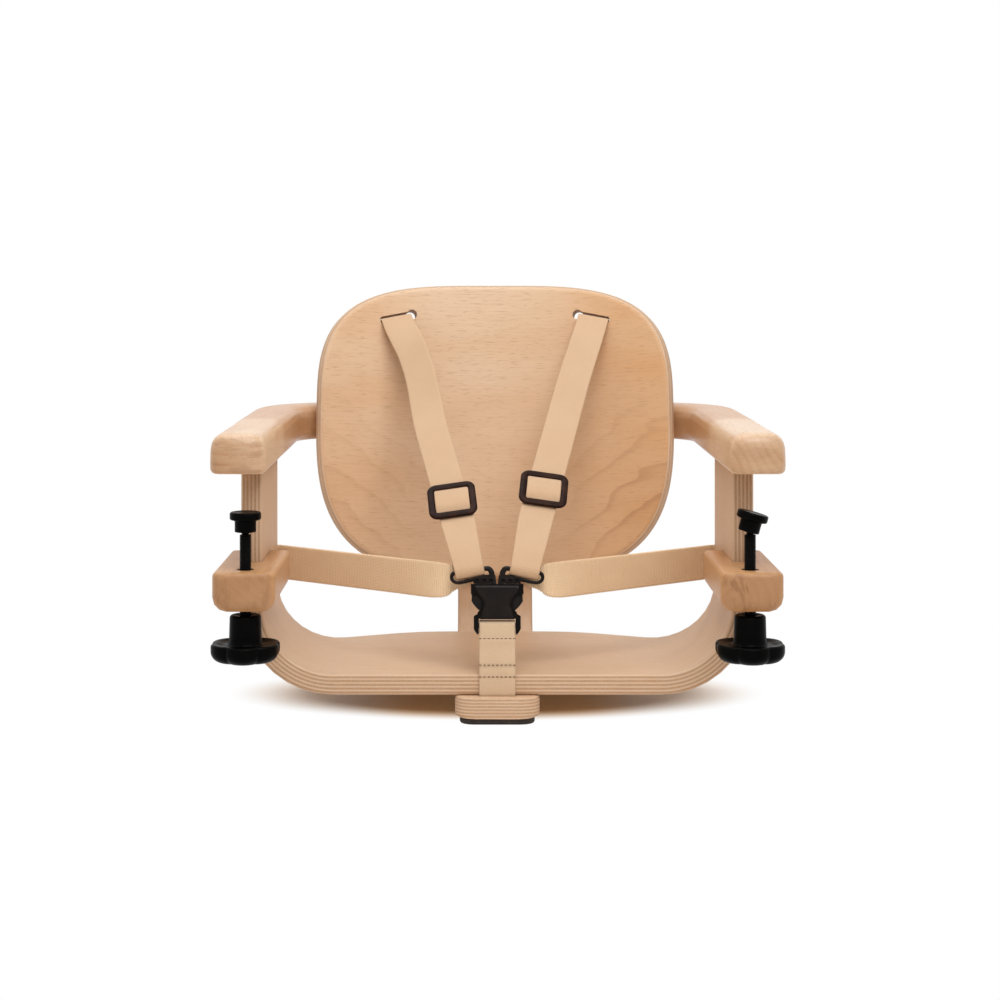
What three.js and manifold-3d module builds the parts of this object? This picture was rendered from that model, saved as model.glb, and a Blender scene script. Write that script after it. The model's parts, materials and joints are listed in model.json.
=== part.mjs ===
// Wooden seat for a small child that clamps to the edge of a table.
// A bent plywood seat rises at both sides into two flat uprights. Each upright carries a solid
// beech arm that lies on the table top and, below it, a solid beech block with a clamping screw
// whose pad presses up against the table's underside. A bent plywood spine under the seat is the
// foot, and goes on up behind the curved backrest. A webbing harness closes in a split buckle.
// Millimetres. +X is the right-hand side seen from the front, +Y points back, +Z up.
// While it is built, Y counts back from the arm tips and Z up from the floor.

import * as THREE from "three";
import { mergeVertices } from "three/addons/utils/BufferGeometryUtils.js";
import Module from "manifold-3d";

const wasm = await Module();
wasm.setup();

// Clearances
const GLUE_LINE = 0.2;          // between wooden faces that are glued or screwed flat together
const FIT_GAP = 0.3;            // round a piece let into another
const THREAD_GAP = 0.1;         // round a turning screw
const SCREW_GAP = 0.12;         // round a wood screw

// Bent plywood seat with its uprights
const SEAT_PLY = 15;
const SEAT_HALF_WIDTH = 184;    // to the outer face of an upright
const SEAT_CORNER = 66;         // outer radius where the seat turns up
const SEAT_FRONT = 55;          // front edge, back from the arm tips
const SEAT_DEPTH = 174;         // front to rear on the centre line
const UPRIGHT_DEPTH = 115;      // front to rear on the uprights
const REAR_TAPER_START = 62;    // measured round the bend from the centre line
const REAR_TAPER_END = 188;
const REAR_TAPER_SOFTNESS = 9;
const PLY_EDGE_ROUND = 2.5;
const TENON = 12;               // length of an upright let into the arm

// Bent plywood spine, which is also the foot
const SPINE_PLY = 15;
const SPINE_WIDTH = 61;
const SPINE_FRONT = 46;
const SPINE_BEND = 40;          // inner radius
const SPINE_RISE = 187;         // straight length above the bend
const SPINE_END_ROUND = 13;
const RECLINE = THREE.MathUtils.degToRad(14);

// Rubber feet under the spine
const FOOT_PAD = 5;
const FOOT_PAD_WIDTH = 54;
const FOOT_PAD_LENGTH = 44;
const FOOT_PAD_ROUND = 10;
const FRONT_PAD_CENTRE = 72;
const REAR_PAD_CENTRE = 198;

// Curved plywood backrest
const BACK_PLY = 12;
const BACK_CURVE = 450;         // radius of the front face, seen from above
const BACK_HALF_WIDTH = 147.5;
const BACK_UPPER = 108;         // height above the widest row
const BACK_LOWER = 139;         // height below the widest row
const BACK_SQUARENESS = 3.15;   // power of the outline's super-ellipse
const BACK_WIDEST = 159;        // widest row, along the spine from the end of its bend
const BACK_FRONT_ROUND = 5;
const BACK_REAR_ROUND = 3;
const SLOT_LENGTH = 32;
const SLOT_WIDTH = 6;
const SLOT_TILT = THREE.MathUtils.degToRad(13);
const SLOT_SIDE = 81;           // slot centre from the centre line
const SLOT_HEIGHT = 78.3;       // slot centre above the widest row

// Solid beech arms
const ARM_INSIDE = 161;         // inner face, from the centre line
const ARM_WIDTH = 39;
const ARM_THICKNESS = 28.5;
const ARM_UNDERSIDE = 184;
const ARM_BEND = 41;            // inner radius of the turn behind the backrest
const ARM_TAIL = 40;            // where the arm ends behind the backrest, from the centre line
const ARM_LET_IN = 6.4;         // the backrest's crown reaches this far into the arm's tail
const JAW_ROUND = 10;           // long edges away from the table
const JAW_EDGE = 3.5;           // long edges next to the table
const JAW_TIP_ROUND = 9;
const JAW_HEEL_ROUND = 4;

// Solid beech clamp blocks
const BLOCK_WIDTH = 44;
const BLOCK_LENGTH = 118;
const BLOCK_THICKNESS = 28;
const BLOCK_TOP = 116;

// Clamp screw, its knob, nut and swivel pad
const SCREW_FROM_TIP = 18.5;
const ROD_RADIUS = 4;
const ROD_TOP = 140.3;
const ROD_BOTTOM = 60;
const ROD_SPIGOT_BORE = 8;
const NUT_RADIUS = 6;
const NUT_LENGTH = 22;
const NUT_FLANGE_RADIUS = 8.5;
const NUT_FLANGE = 1.6;
const KNOB_RADIUS = 25;
const KNOB_VALLEY = 2.6;
const KNOB_LOBES = 6;
const KNOB_BOTTOM = 52;
const KNOB_FLANGE = 13;
const HUB_RADIUS = 11;
const HUB_TOP = 84.5;
const HUB_ROUND = 2.5;
const BALL_RADIUS = 4.5;
const BALL_NECK_RADIUS = 2.5;
const BALL_GAP = 0.15;
const NECK_SHOWN = 2;           // between the rod's end and the pad's collar
const PAD_RADIUS = 11;
const PAD_DISC = 5.5;
const PAD_COLLAR_RADIUS = 7.5;
const PAD_COLLAR = 8.5;
const PAD_MOUTH_RADIUS = 4;
const PAD_TILT = { left: 0, right: THREE.MathUtils.degToRad(15) };

// Webbing harness
const STRAP_WIDTH = 26;
const STRAP = 1.6;
const STRAP_GAP = 0.4;          // between webbing and what it lies on
const STRAP_TURN = 3.2;         // radius of its folds
const STRAP_TAIL = 20;          // sewn end after a loop round a bar
const SHOULDER_RUN = 239;       // straight stretch below the slot
const SHOULDER_FALL = new THREE.Vector3(-0.213, -0.764, -0.609).normalize();
const REAR_LEG = 52;            // shoulder webbing hanging down behind the backrest
const REAR_ANCHOR = 40;
const LAP_HEIGHT = 99.2;
const GATHER_LENGTH = 11;       // of webbing drawn together before a bar
const LAP_END = 16;             // lap webbing on the outer face of the upright
const SHOULDER_GATHER = 21.5;   // width of the shoulder webbing at the buckle
const LAP_GATHER = 7.5;         // width of the lap webbing, folded together, at the buckle
const CROTCH_END = 53;          // webbing clamped between seat and spine

// Strap adjusters, given by their distance down from the slots
const ADJUSTER_DROP = { left: 222, right: 210 };
const ADJUSTER_HEIGHT = 34;
const ADJUSTER_RAIL = 4.6;
const ADJUSTER_BAR = 5;
const ADJUSTER_FRONT = 3;       // thickness of its front bars
const ADJUSTER_ROUND = 5;

// Split side-release buckle: u to the right, v up along it, w out of its face
const BUCKLE_BACK = 70;         // its mouth, back from the arm tips
const BUCKLE_HEIGHT = 97.4;     // its mouth above the floor
const BUCKLE_LEAN = THREE.MathUtils.degToRad(15);
const BUCKLE_HALF_WIDTH = 19;
const BUCKLE_THICKNESS = 9;
const BUCKLE_BAND = 7;          // mouth band that the latch arms catch behind
const BUCKLE_BAND_WALL = 1.8;
const BUCKLE_CAVITY = 5.6;
const BUCKLE_CAVITY_DEPTH = 20.5;
const BUCKLE_WAIST = 11.5;      // half width of its plates beside the latch arms
const BUCKLE_NECK = 14.2;
const BUCKLE_BODY = 24.5;
const BUCKLE_EAR = 35.5;
const BUCKLE_EAR_WALL = 3.6;
const BUCKLE_BAR_DROP = 29.5;
const BUCKLE_BAR_RADIUS = 2;
const PRONG_THICKNESS = 4.8;
const PRONG_HALF_GAP = 0.5;     // from the centre line to each half
const PRONG_TONGUE = 5;
const PRONG_TONGUE_DEPTH = 16;
const PRONG_BAR = 3.2;
const PRONG_HOOK_TOP = 14.4;
const PRONG_BAR_INNER = 9.5;    // shoulder bar, inner end
const PRONG_BAR_OUTER = 32.4;   // shoulder bar, outer end
const PRONG_BAR_HEIGHT = 12;    // its centre line at the inner end
const PRONG_BAR_FALL = 4.2;     // how much lower it is at the outer end
const PRONG_LAP_BAR = 3;
const PRONG_FOOT = -2.2;        // lower edge of the wing at its outer end
const LATCH_PIVOT = 10;
const LATCH_DEPTH = 19.5;
const LATCH_STEM = 2.6;

// Wood screws: head radius, head height, shank radius, length under the head
const ARM_SCREW = { head: 4.5, cap: 3, shank: 2.2, length: 36 };
const SPINE_SCREW = { head: 4, cap: 2.6, shank: 2, length: 19 };
const BLOCK_SCREW = { head: 4, cap: 2.6, shank: 2, length: 20 };
const ANCHOR_SCREW = { head: 6, cap: 2.4, shank: 2, length: 10 };
const HEAD_SINK = 1;            // screw heads lie this far below the wood
const HEAD_HOLE = 12;           // open length of a hole above its screw's head
const ARM_SCREW_BITE = 7;                     // how far its point goes into the backrest
const ARM_SCREW_PLACES = [50, 68];            // from the centre line
const SPINE_BACK_SCREW_RISES = [66, 170];     // along the spine from the end of its bend
const SPINE_BACK_SCREW_SIDE = 16;
const SPINE_SEAT_SCREW_PLACES = [101, 165];   // back from the arm tips
const BLOCK_SCREW_PLACES = [44, 18];          // forward from the block's heel

// Round sections
const ROUND_SIDES = 18;
const SMALL_SIDES = 8;
const BALL_STEPS = 6;           // from a ball's neck to its crown
const FULL_TURN = Math.PI * 2;

// Places worked out from the sizes above
const SPINE_UNDERSIDE = FOOT_PAD;
const SPINE_TOP = SPINE_UNDERSIDE + SPINE_PLY;
const SEAT_UNDERSIDE = SPINE_TOP + GLUE_LINE;
const UPRIGHT_CENTRE = SEAT_HALF_WIDTH - SEAT_PLY / 2;
const UPRIGHT_REAR = SEAT_FRONT + UPRIGHT_DEPTH;
const SPINE_BEND_START = SEAT_FRONT + SEAT_DEPTH;
const BLOCK_UNDERSIDE = BLOCK_TOP - BLOCK_THICKNESS;
const UP_THE_BACK = new THREE.Vector3(0, Math.sin(RECLINE), Math.cos(RECLINE));
const OUT_OF_BACK = new THREE.Vector3(0, -Math.cos(RECLINE), Math.sin(RECLINE));
const SPINE_FACE = new THREE.Vector3(
  0,
  SPINE_BEND_START + SPINE_BEND * Math.cos(RECLINE),
  SPINE_TOP + SPINE_BEND - SPINE_BEND * Math.sin(RECLINE),
);
const BACK_REAR_CURVE = BACK_CURVE + BACK_PLY;
const BACK_CENTRE = SPINE_FACE.clone()
  .addScaledVector(UP_THE_BACK, BACK_WIDEST)
  .addScaledVector(OUT_OF_BACK, GLUE_LINE + BACK_PLY);
const ARM_MIDDLE = ARM_UNDERSIDE + ARM_THICKNESS / 2;
const ARM_TAIL_FRONT = SPINE_FACE.y + (ARM_MIDDLE - SPINE_FACE.z) * Math.tan(RECLINE) - ARM_LET_IN;
const PRONG_LOOP = loopRadius(PRONG_BAR);
const PRONG_LAP_LOOP = loopRadius(PRONG_LAP_BAR);
const PRONG_SLOT = slotBeside(PRONG_BAR);
const PRONG_LAP_SLOT = slotBeside(PRONG_LAP_BAR);
const PAD_BASE = ROD_TOP + NECK_SHOWN;
const BALL_CENTRE = PAD_BASE + BALL_RADIUS;

// Webbing folded round a bar of the buckle: radius of its middle, and the slot that it needs
function loopRadius(bar) {
  return Math.hypot(bar, PRONG_THICKNESS) / 2 + STRAP_GAP + STRAP / 2;
}

function slotBeside(bar) {
  return loopRadius(bar) + STRAP / 2 + STRAP_GAP - bar / 2;
}

// Materials
function material(color, roughness, metalness = 0) {
  return new THREE.MeshStandardMaterial({ color, roughness, metalness });
}
const BEECH_VENEER = material("#d9a877", 0.5);
const BEECH_SOLID = material("#cf9a6a", 0.5);
const WEBBING = material("#d3ab7f", 0.9);
const BLACK_PLASTIC = material("#141313", 0.45);
const BLACK_STEEL = material("#1a1a1b", 0.4, 0.8);
const RUBBER = material("#2a211f", 0.8);
const ZINC_STEEL = material("#b9bcc0", 0.35, 0.9);

// Solids: closed meshes that can be joined and cut

function faceOut(geometry) {
  const p = geometry.attributes.position;
  const index = geometry.index.array;
  const [a, b, c] = [new THREE.Vector3(), new THREE.Vector3(), new THREE.Vector3()];
  let volume = 0;
  for (let i = 0; i < index.length; i += 3) {
    a.fromBufferAttribute(p, index[i]);
    b.fromBufferAttribute(p, index[i + 1]);
    c.fromBufferAttribute(p, index[i + 2]);
    volume += a.dot(b.cross(c));
  }
  if (volume < 0) index.reverse();
  return geometry;
}

function meshOf(points, faces) {
  const geometry = new THREE.BufferGeometry();
  geometry.setAttribute("position", new THREE.Float32BufferAttribute(points, 3));
  geometry.setIndex(faces);
  return geometry;
}

function merged(geometry) {
  const bare = geometry.clone();
  bare.deleteAttribute("normal");
  bare.deleteAttribute("uv");
  const joined = mergeVertices(bare, 1e-4);
  const index = joined.index.array;
  const kept = [];
  for (let i = 0; i < index.length; i += 3) {
    const [a, b, c] = [index[i], index[i + 1], index[i + 2]];
    if (a !== b && b !== c && c !== a) kept.push(a, b, c);
  }
  joined.setIndex(kept);
  return faceOut(joined);
}

function solid(geometry) {
  const closed = merged(geometry);
  return new wasm.Manifold(new wasm.Mesh({
    numProp: 3,
    vertProperties: new Float32Array(closed.attributes.position.array),
    triVerts: new Uint32Array(closed.index.array),
  }));
}

function geometryOf(manifold) {
  const { vertProperties, triVerts } = manifold.getMesh();
  return meshOf(Array.from(vertProperties), Array.from(triVerts));
}

function cut(geometry, ...tools) {
  return geometryOf(tools.reduce((body, tool) => body.subtract(solid(tool)), solid(geometry)));
}

function join(geometry, ...others) {
  return geometryOf(others.reduce((body, other) => body.add(solid(other)), solid(geometry)));
}

function mirrored(geometry) {
  return merged(geometry.clone().scale(-1, 1, 1));
}

// Shapes that the pieces share

// Skin over a row of rings, each a list of as many points, closed at both ends
function loft(rings, startPoint, endPoint) {
  const sides = rings[0].length;
  const points = rings.flat();
  const faces = [];
  for (let r = 0; r + 1 < rings.length; r += 1) {
    for (let i = 0; i < sides; i += 1) {
      const a = r * sides + i;
      const b = r * sides + ((i + 1) % sides);
      faces.push(a, b, b + sides, a, b + sides, a + sides);
    }
  }
  const closeEnd = (first, middle, turned) => {
    if (middle) points.push(middle);
    const apex = middle ? points.length - 1 : first;
    const [from, to] = middle ? [0, sides] : [1, sides - 1];
    for (let i = from; i < to; i += 1) {
      const [a, b] = [first + i, first + ((i + 1) % sides)];
      faces.push(apex, turned ? b : a, turned ? a : b);
    }
  };
  closeEnd(0, startPoint, true);
  closeEnd((rings.length - 1) * sides, endPoint, false);
  return faceOut(meshOf(points.flatMap((q) => q.toArray()), faces));
}

// Rectangle with rounded corners as a ring of flat points; low and high are its corners
function roundedRing(low, high, lowRound, highRound, steps) {
  const room = Math.min(high.x - low.x, high.y - low.y) / 2;
  const corners = [
    [high.x, low.y, -1, 1, lowRound, -0.25],
    [high.x, high.y, -1, -1, highRound, 0],
    [low.x, high.y, 1, -1, highRound, 0.25],
    [low.x, low.y, 1, 1, lowRound, 0.5],
  ];
  return corners.flatMap(([x, y, inX, inY, round, turn]) => {
    const r = Math.min(round, room * 0.98);
    return Array.from({ length: steps + 1 }, (_, i) => {
      const angle = (turn + (0.25 * i) / steps) * FULL_TURN;
      return new THREE.Vector2(x + inX * r + r * Math.cos(angle), y + inY * r + r * Math.sin(angle));
    });
  });
}

// How far a rounded edge has drawn in at a distance from the end it rounds
function drawnIn(round, distance) {
  if (distance >= round) return 0;
  return round - Math.sqrt(round ** 2 - (round - distance) ** 2);
}

function turned(profile, sides = ROUND_SIDES) {
  const points = profile.map(([r, z]) => new THREE.Vector2(r, z));
  return new THREE.LatheGeometry(points, sides).rotateX(Math.PI / 2);
}

function box(low, high) {
  const size = new THREE.Vector3().subVectors(high, low);
  const middle = new THREE.Vector3().addVectors(low, high).multiplyScalar(0.5);
  return new THREE.BoxGeometry(size.x, size.y, size.z).translate(middle.x, middle.y, middle.z);
}

function plate(shape, thickness, curveSegments = 8) {
  const options = { depth: thickness, bevelEnabled: false, curveSegments };
  return new THREE.ExtrudeGeometry(shape, options).translate(0, 0, -thickness / 2);
}

function polygon(corners) {
  return new THREE.Shape(corners.map(([x, y]) => new THREE.Vector2(x, y)));
}

function rectangleShape(width, height, round) {
  const low = new THREE.Vector2(-width / 2, -height / 2);
  const high = new THREE.Vector2(width / 2, height / 2);
  return new THREE.Shape(roundedRing(low, high, round, round, 4));
}

// Matrix that stands a piece with its own axes along the given directions
function standing(origin, xAxis, yAxis, zAxis) {
  return new THREE.Matrix4().makeBasis(xAxis, yAxis, zAxis).setPosition(origin);
}

// Wood screws. A screw points along the direction that it is driven; its hole is the same shape.

function screwProfile({ head, cap, shank, length }, gap, reach) {
  return [
    [0, -length - gap],
    [shank * 0.4 + gap, -length - gap],
    [shank + gap, -length + shank * 1.5],
    [shank + gap, -gap],
    [head + gap, -gap],
    [head + gap, cap + reach],
    [0, cap + reach],
  ];
}

function drivenScrew(kind, seat, direction, gap = 0, reach = 0) {
  const up = direction.clone().negate();
  const spin = new THREE.Quaternion().setFromUnitVectors(new THREE.Vector3(0, 0, 1), up);
  const matrix = new THREE.Matrix4().makeRotationFromQuaternion(spin).setPosition(seat);
  return turned(screwProfile(kind, gap, reach), SMALL_SIDES).applyMatrix4(matrix);
}

function screwHole(kind, seat, direction) {
  return drivenScrew(kind, seat, direction, SCREW_GAP, kind.cap + HEAD_HOLE);
}

// Where every screw sits: the seat of its head, and the way it is driven
const FORWARD = new THREE.Vector3(0, -1, 0);
const UPWARD = new THREE.Vector3(0, 0, 1);
const INTO_BACK = OUT_OF_BACK;

// Rear face of the backrest at a place across it, level with the middle of the arms
function backRearAt(place) {
  const forward = BACK_CURVE - Math.sqrt(BACK_REAR_CURVE ** 2 - place ** 2);
  const up = (ARM_MIDDLE - BACK_CENTRE.z - OUT_OF_BACK.z * forward) / UP_THE_BACK.z;
  return BACK_CENTRE.y + UP_THE_BACK.y * up + OUT_OF_BACK.y * forward;
}

function armScrew(place) {
  const seat = new THREE.Vector3(place, backRearAt(place) - ARM_SCREW_BITE + ARM_SCREW.length, ARM_MIDDLE);
  return { kind: ARM_SCREW, seat, direction: FORWARD };
}

function spineBackScrew(rise, side) {
  const seat = SPINE_FACE.clone()
    .addScaledVector(UP_THE_BACK, rise)
    .addScaledVector(OUT_OF_BACK, -(SPINE_PLY - HEAD_SINK - SPINE_SCREW.cap));
  seat.x = side * SPINE_BACK_SCREW_SIDE;
  return { kind: SPINE_SCREW, seat, direction: INTO_BACK };
}

function spineSeatScrew(place) {
  const seat = new THREE.Vector3(0, place, SPINE_UNDERSIDE + HEAD_SINK + SPINE_SCREW.cap);
  return { kind: SPINE_SCREW, seat, direction: UPWARD };
}

function blockScrew(place) {
  const face = UPRIGHT_CENTRE + BLOCK_WIDTH / 2;
  const height = BLOCK_TOP - BLOCK_THICKNESS / 2;
  const seat = new THREE.Vector3(face - HEAD_SINK - BLOCK_SCREW.cap, BLOCK_LENGTH - place, height);
  return { kind: BLOCK_SCREW, seat, direction: new THREE.Vector3(-1, 0, 0) };
}

const hole = ({ kind, seat, direction }) => screwHole(kind, seat, direction);
const screw = ({ kind, seat, direction }) => drivenScrew(kind, seat, direction);
const armScrews = ARM_SCREW_PLACES.map(armScrew);
const blockScrews = BLOCK_SCREW_PLACES.map(blockScrew);
const spineSeatScrews = SPINE_SEAT_SCREW_PLACES.map(spineSeatScrew);
const spineBackScrews = SPINE_BACK_SCREW_RISES.flatMap((rise) => (
  [-1, 1].map((side) => spineBackScrew(rise, side))));

// Seat: the ply section is swept round the U, its rear edge tapering into the uprights

const seatBendRadius = SEAT_CORNER - SEAT_PLY / 2;
const seatFlat = SEAT_HALF_WIDTH - SEAT_CORNER;
const seatBendLength = (seatBendRadius * Math.PI) / 2;
const uprightStart = seatFlat + seatBendLength;
const uprightEnd = uprightStart + ARM_UNDERSIDE + TENON - SEAT_UNDERSIDE - SEAT_CORNER;

function seatRear(s) {
  const soft = (x) => REAR_TAPER_SOFTNESS * Math.log1p(Math.exp(x / REAR_TAPER_SOFTNESS));
  const slope = (SEAT_DEPTH - UPRIGHT_DEPTH) / (REAR_TAPER_END - REAR_TAPER_START);
  return UPRIGHT_REAR + slope * (soft(REAR_TAPER_END - s) - soft(REAR_TAPER_START - s));
}

// Middle of the ply and its outward normal at a distance round the U from the centre line
function seatPlace(distance) {
  const s = Math.abs(distance);
  const side = Math.sign(distance) || 1;
  const angle = THREE.MathUtils.clamp((s - seatFlat) / seatBendRadius, 0, Math.PI / 2);
  const x = Math.min(s, seatFlat) + seatBendRadius * Math.sin(angle);
  const bendTop = SEAT_UNDERSIDE + SEAT_CORNER;
  const z = bendTop - seatBendRadius * Math.cos(angle) + Math.max(s - uprightStart, 0);
  const out = new THREE.Vector3(side * Math.sin(angle), 0, -Math.cos(angle));
  return { middle: new THREE.Vector3(side * x, 0, z), out };
}

function seatShell() {
  const flatSteps = 8;
  const bendSteps = 9;
  const half = [];
  for (let i = 1; i <= flatSteps; i += 1) half.push((seatFlat * i) / flatSteps);
  for (let i = 1; i <= bendSteps; i += 1) half.push(seatFlat + (seatBendLength * i) / bendSteps);
  half.push(uprightStart + (uprightEnd - uprightStart) / 4, uprightEnd);
  const stations = [...half.map((s) => -s).reverse(), 0, ...half];
  const rings = stations.map((s) => {
    const { middle, out } = seatPlace(s);
    const low = new THREE.Vector2(SEAT_FRONT, -SEAT_PLY / 2);
    const high = new THREE.Vector2(seatRear(Math.abs(s)), SEAT_PLY / 2);
    return roundedRing(low, high, PLY_EDGE_ROUND, PLY_EDGE_ROUND, 2).map(({ x: back, y: depth }) => (
      new THREE.Vector3(0, back, 0).add(middle).addScaledVector(out, depth)));
  });
  const lap = hole(lapAnchor());
  const sides = [...blockScrews.map(hole), lap];
  return cut(loft(rings), ...sides, ...sides.map(mirrored), ...spineSeatScrews.map(hole));
}

// Spine: a ply strip that runs under the seat, bends up and leans back

function spineStations() {
  const middleRadius = SPINE_BEND + SPINE_PLY / 2;
  const turn = Math.PI / 2 - RECLINE;
  const flat = SPINE_BEND_START - SPINE_FRONT;
  const bend = middleRadius * turn;
  const ends = [0, 0.15, 0.4, 0.7, 1].map((share) => share * SPINE_END_ROUND);
  const total = flat + bend + SPINE_RISE;
  const bends = Array.from({ length: 9 }, (_, i) => flat + (bend * i) / 8);
  const stations = [...ends, ...bends, ...ends.map((d) => total - d).reverse()];
  return stations.map((s) => {
    const angle = THREE.MathUtils.clamp((s - flat) / middleRadius, 0, turn);
    const along = new THREE.Vector3(0, Math.cos(angle), Math.sin(angle));
    const inward = new THREE.Vector3(0, -Math.sin(angle), Math.cos(angle));
    const middle = new THREE.Vector3(0, SPINE_FRONT + Math.min(s, flat), SPINE_TOP + SPINE_BEND)
      .addScaledVector(inward, -middleRadius)
      .addScaledVector(along, Math.max(s - flat - bend, 0));
    const narrowing = drawnIn(SPINE_END_ROUND, Math.min(s, total - s));
    return { middle, inward, half: SPINE_WIDTH / 2 - narrowing };
  });
}

function spine() {
  const rings = spineStations().map(({ middle, inward, half }) => {
    const low = new THREE.Vector2(-half, -SPINE_PLY / 2);
    const high = new THREE.Vector2(half, SPINE_PLY / 2);
    return roundedRing(low, high, PLY_EDGE_ROUND, PLY_EDGE_ROUND, 2).map(({ x: across, y: depth }) => (
      new THREE.Vector3(across, 0, 0).add(middle).addScaledVector(inward, depth)));
  });
  const recess = STRAP + 2 * STRAP_GAP;
  const strapRecess = box(
    new THREE.Vector3(-STRAP_WIDTH / 2 - FIT_GAP, SEAT_FRONT - STRAP - 2 * STRAP_GAP, SPINE_TOP - recess),
    new THREE.Vector3(STRAP_WIDTH / 2 + FIT_GAP, SEAT_FRONT + CROTCH_END + STRAP_GAP, SPINE_TOP + recess),
  );
  return cut(loft(rings), strapRecess, ...spineSeatScrews.map(hole), ...spineBackScrews.map(hole));
}

function footPad(centre) {
  return plate(rectangleShape(FOOT_PAD_WIDTH, FOOT_PAD_LENGTH, FOOT_PAD_ROUND), FOOT_PAD - GLUE_LINE)
    .translate(0, centre, (FOOT_PAD - GLUE_LINE) / 2);
}

// Backrest: a super-ellipse panel, rounded at its edges and bent round an upright cylinder

// Point of the panel from its place across, up and in depth behind the front face
function onBack(across, up, depth) {
  const angle = across / BACK_CURVE;
  const radius = BACK_CURVE + depth;
  return BACK_CENTRE.clone()
    .addScaledVector(UP_THE_BACK, up)
    .addScaledVector(OUT_OF_BACK, BACK_CURVE - radius * Math.cos(angle))
    .add(new THREE.Vector3(radius * Math.sin(angle), 0, 0));
}

// Directions on the panel at a place across it: sideways along it, and out of its front
function backAxes(across) {
  const angle = across / BACK_CURVE;
  const [c, s] = [Math.cos(angle), Math.sin(angle)];
  const sideways = new THREE.Vector3(c, 0, 0).addScaledVector(OUT_OF_BACK, s);
  const out = new THREE.Vector3(-s, 0, 0).addScaledVector(OUT_OF_BACK, c);
  return { sideways, out };
}

function backPanel(extra = 0) {
  const around = 60;
  const ring = (inset, scale, depth) => Array.from({ length: around }, (_, i) => {
    const angle = (i / around) * FULL_TURN;
    const a = BACK_HALF_WIDTH + extra - inset;
    const b = (Math.sin(angle) > 0 ? BACK_UPPER : BACK_LOWER) + extra - inset;
    const reach = (Math.abs(Math.cos(angle) / a) ** BACK_SQUARENESS
      + Math.abs(Math.sin(angle) / b) ** BACK_SQUARENESS) ** (-1 / BACK_SQUARENESS);
    return onBack(scale * reach * Math.cos(angle), scale * reach * Math.sin(angle), depth);
  });
  const quarter = (round, face, inwards) => [0, 0.33, 0.67, 1].map((share) => {
    const angle = share * (Math.PI / 2);
    return ring(round * (1 - Math.sin(angle)), 1, face + inwards * round * (1 - Math.cos(angle)));
  });
  const rear = BACK_PLY + extra;
  const rings = [
    ring(BACK_FRONT_ROUND, 0.4, 0),
    ring(BACK_FRONT_ROUND, 0.75, 0),
    ...quarter(BACK_FRONT_ROUND, 0, 1),
    ...quarter(BACK_REAR_ROUND, rear, -1).reverse(),
    ring(BACK_REAR_ROUND, 0.75, rear),
    ring(BACK_REAR_ROUND, 0.4, rear),
  ];
  return loft(rings, onBack(0, 0, 0), onBack(0, 0, rear));
}

// Axes of the right-hand slot: along it, down across it and out of the panel's front
function slotAxes() {
  const { sideways, out } = backAxes(slotAcross);
  const along = sideways.clone().multiplyScalar(Math.cos(SLOT_TILT))
    .addScaledVector(UP_THE_BACK, -Math.sin(SLOT_TILT));
  const down = new THREE.Vector3().crossVectors(along, out);
  return { along, down, out };
}
const slotAcross = BACK_CURVE * Math.asin(SLOT_SIDE / BACK_CURVE);
const slotCentre = onBack(slotAcross, SLOT_HEIGHT, 0);

function slotCutter() {
  const { along, down, out } = slotAxes();
  const shape = rectangleShape(SLOT_LENGTH, SLOT_WIDTH, SLOT_WIDTH / 2);
  const bar = plate(shape, BACK_PLY * 3);
  return bar.applyMatrix4(standing(slotCentre, along, down.clone().negate(), out));
}

function backrest() {
  const sides = [slotCutter(), ...armScrews.map(hole), hole(shoulderAnchor())];
  return cut(backPanel(), ...sides, ...sides.map(mirrored), ...spineBackScrews.map(hole));
}

// Jaws: the arm and the block share one bar section, with its full edges away from the table

// Ring of the bar at a place on its path; tableSide is -1 when the table lies below it
function jawRing(place, across, width, thickness, tipDistance, heelDistance, tableSide) {
  const tip = drawnIn(JAW_TIP_ROUND, tipDistance);
  const heel = drawnIn(JAW_HEEL_ROUND, heelDistance);
  const half = width / 2 - tip - heel;
  const near = drawnIn(JAW_EDGE, tipDistance) + heel;
  const far = tip + heel;
  const [bottom, top] = tableSide < 0 ? [near, far] : [far, near];
  const [lowRound, highRound] = tableSide < 0 ? [JAW_EDGE, JAW_ROUND] : [JAW_ROUND, JAW_EDGE];
  const low = new THREE.Vector2(-half, bottom);
  const high = new THREE.Vector2(half, thickness - top);
  return roundedRing(low, high, lowRound, highRound, 3).map(({ x, y }) => (
    place.clone().addScaledVector(across, x).add(new THREE.Vector3(0, 0, y))));
}

const tipSteps = [0, 0.07, 0.26, 0.6, 1].map((share) => share * JAW_TIP_ROUND);
const heelSteps = [0, 0.3, 1].map((share) => share * JAW_HEEL_ROUND);

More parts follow.
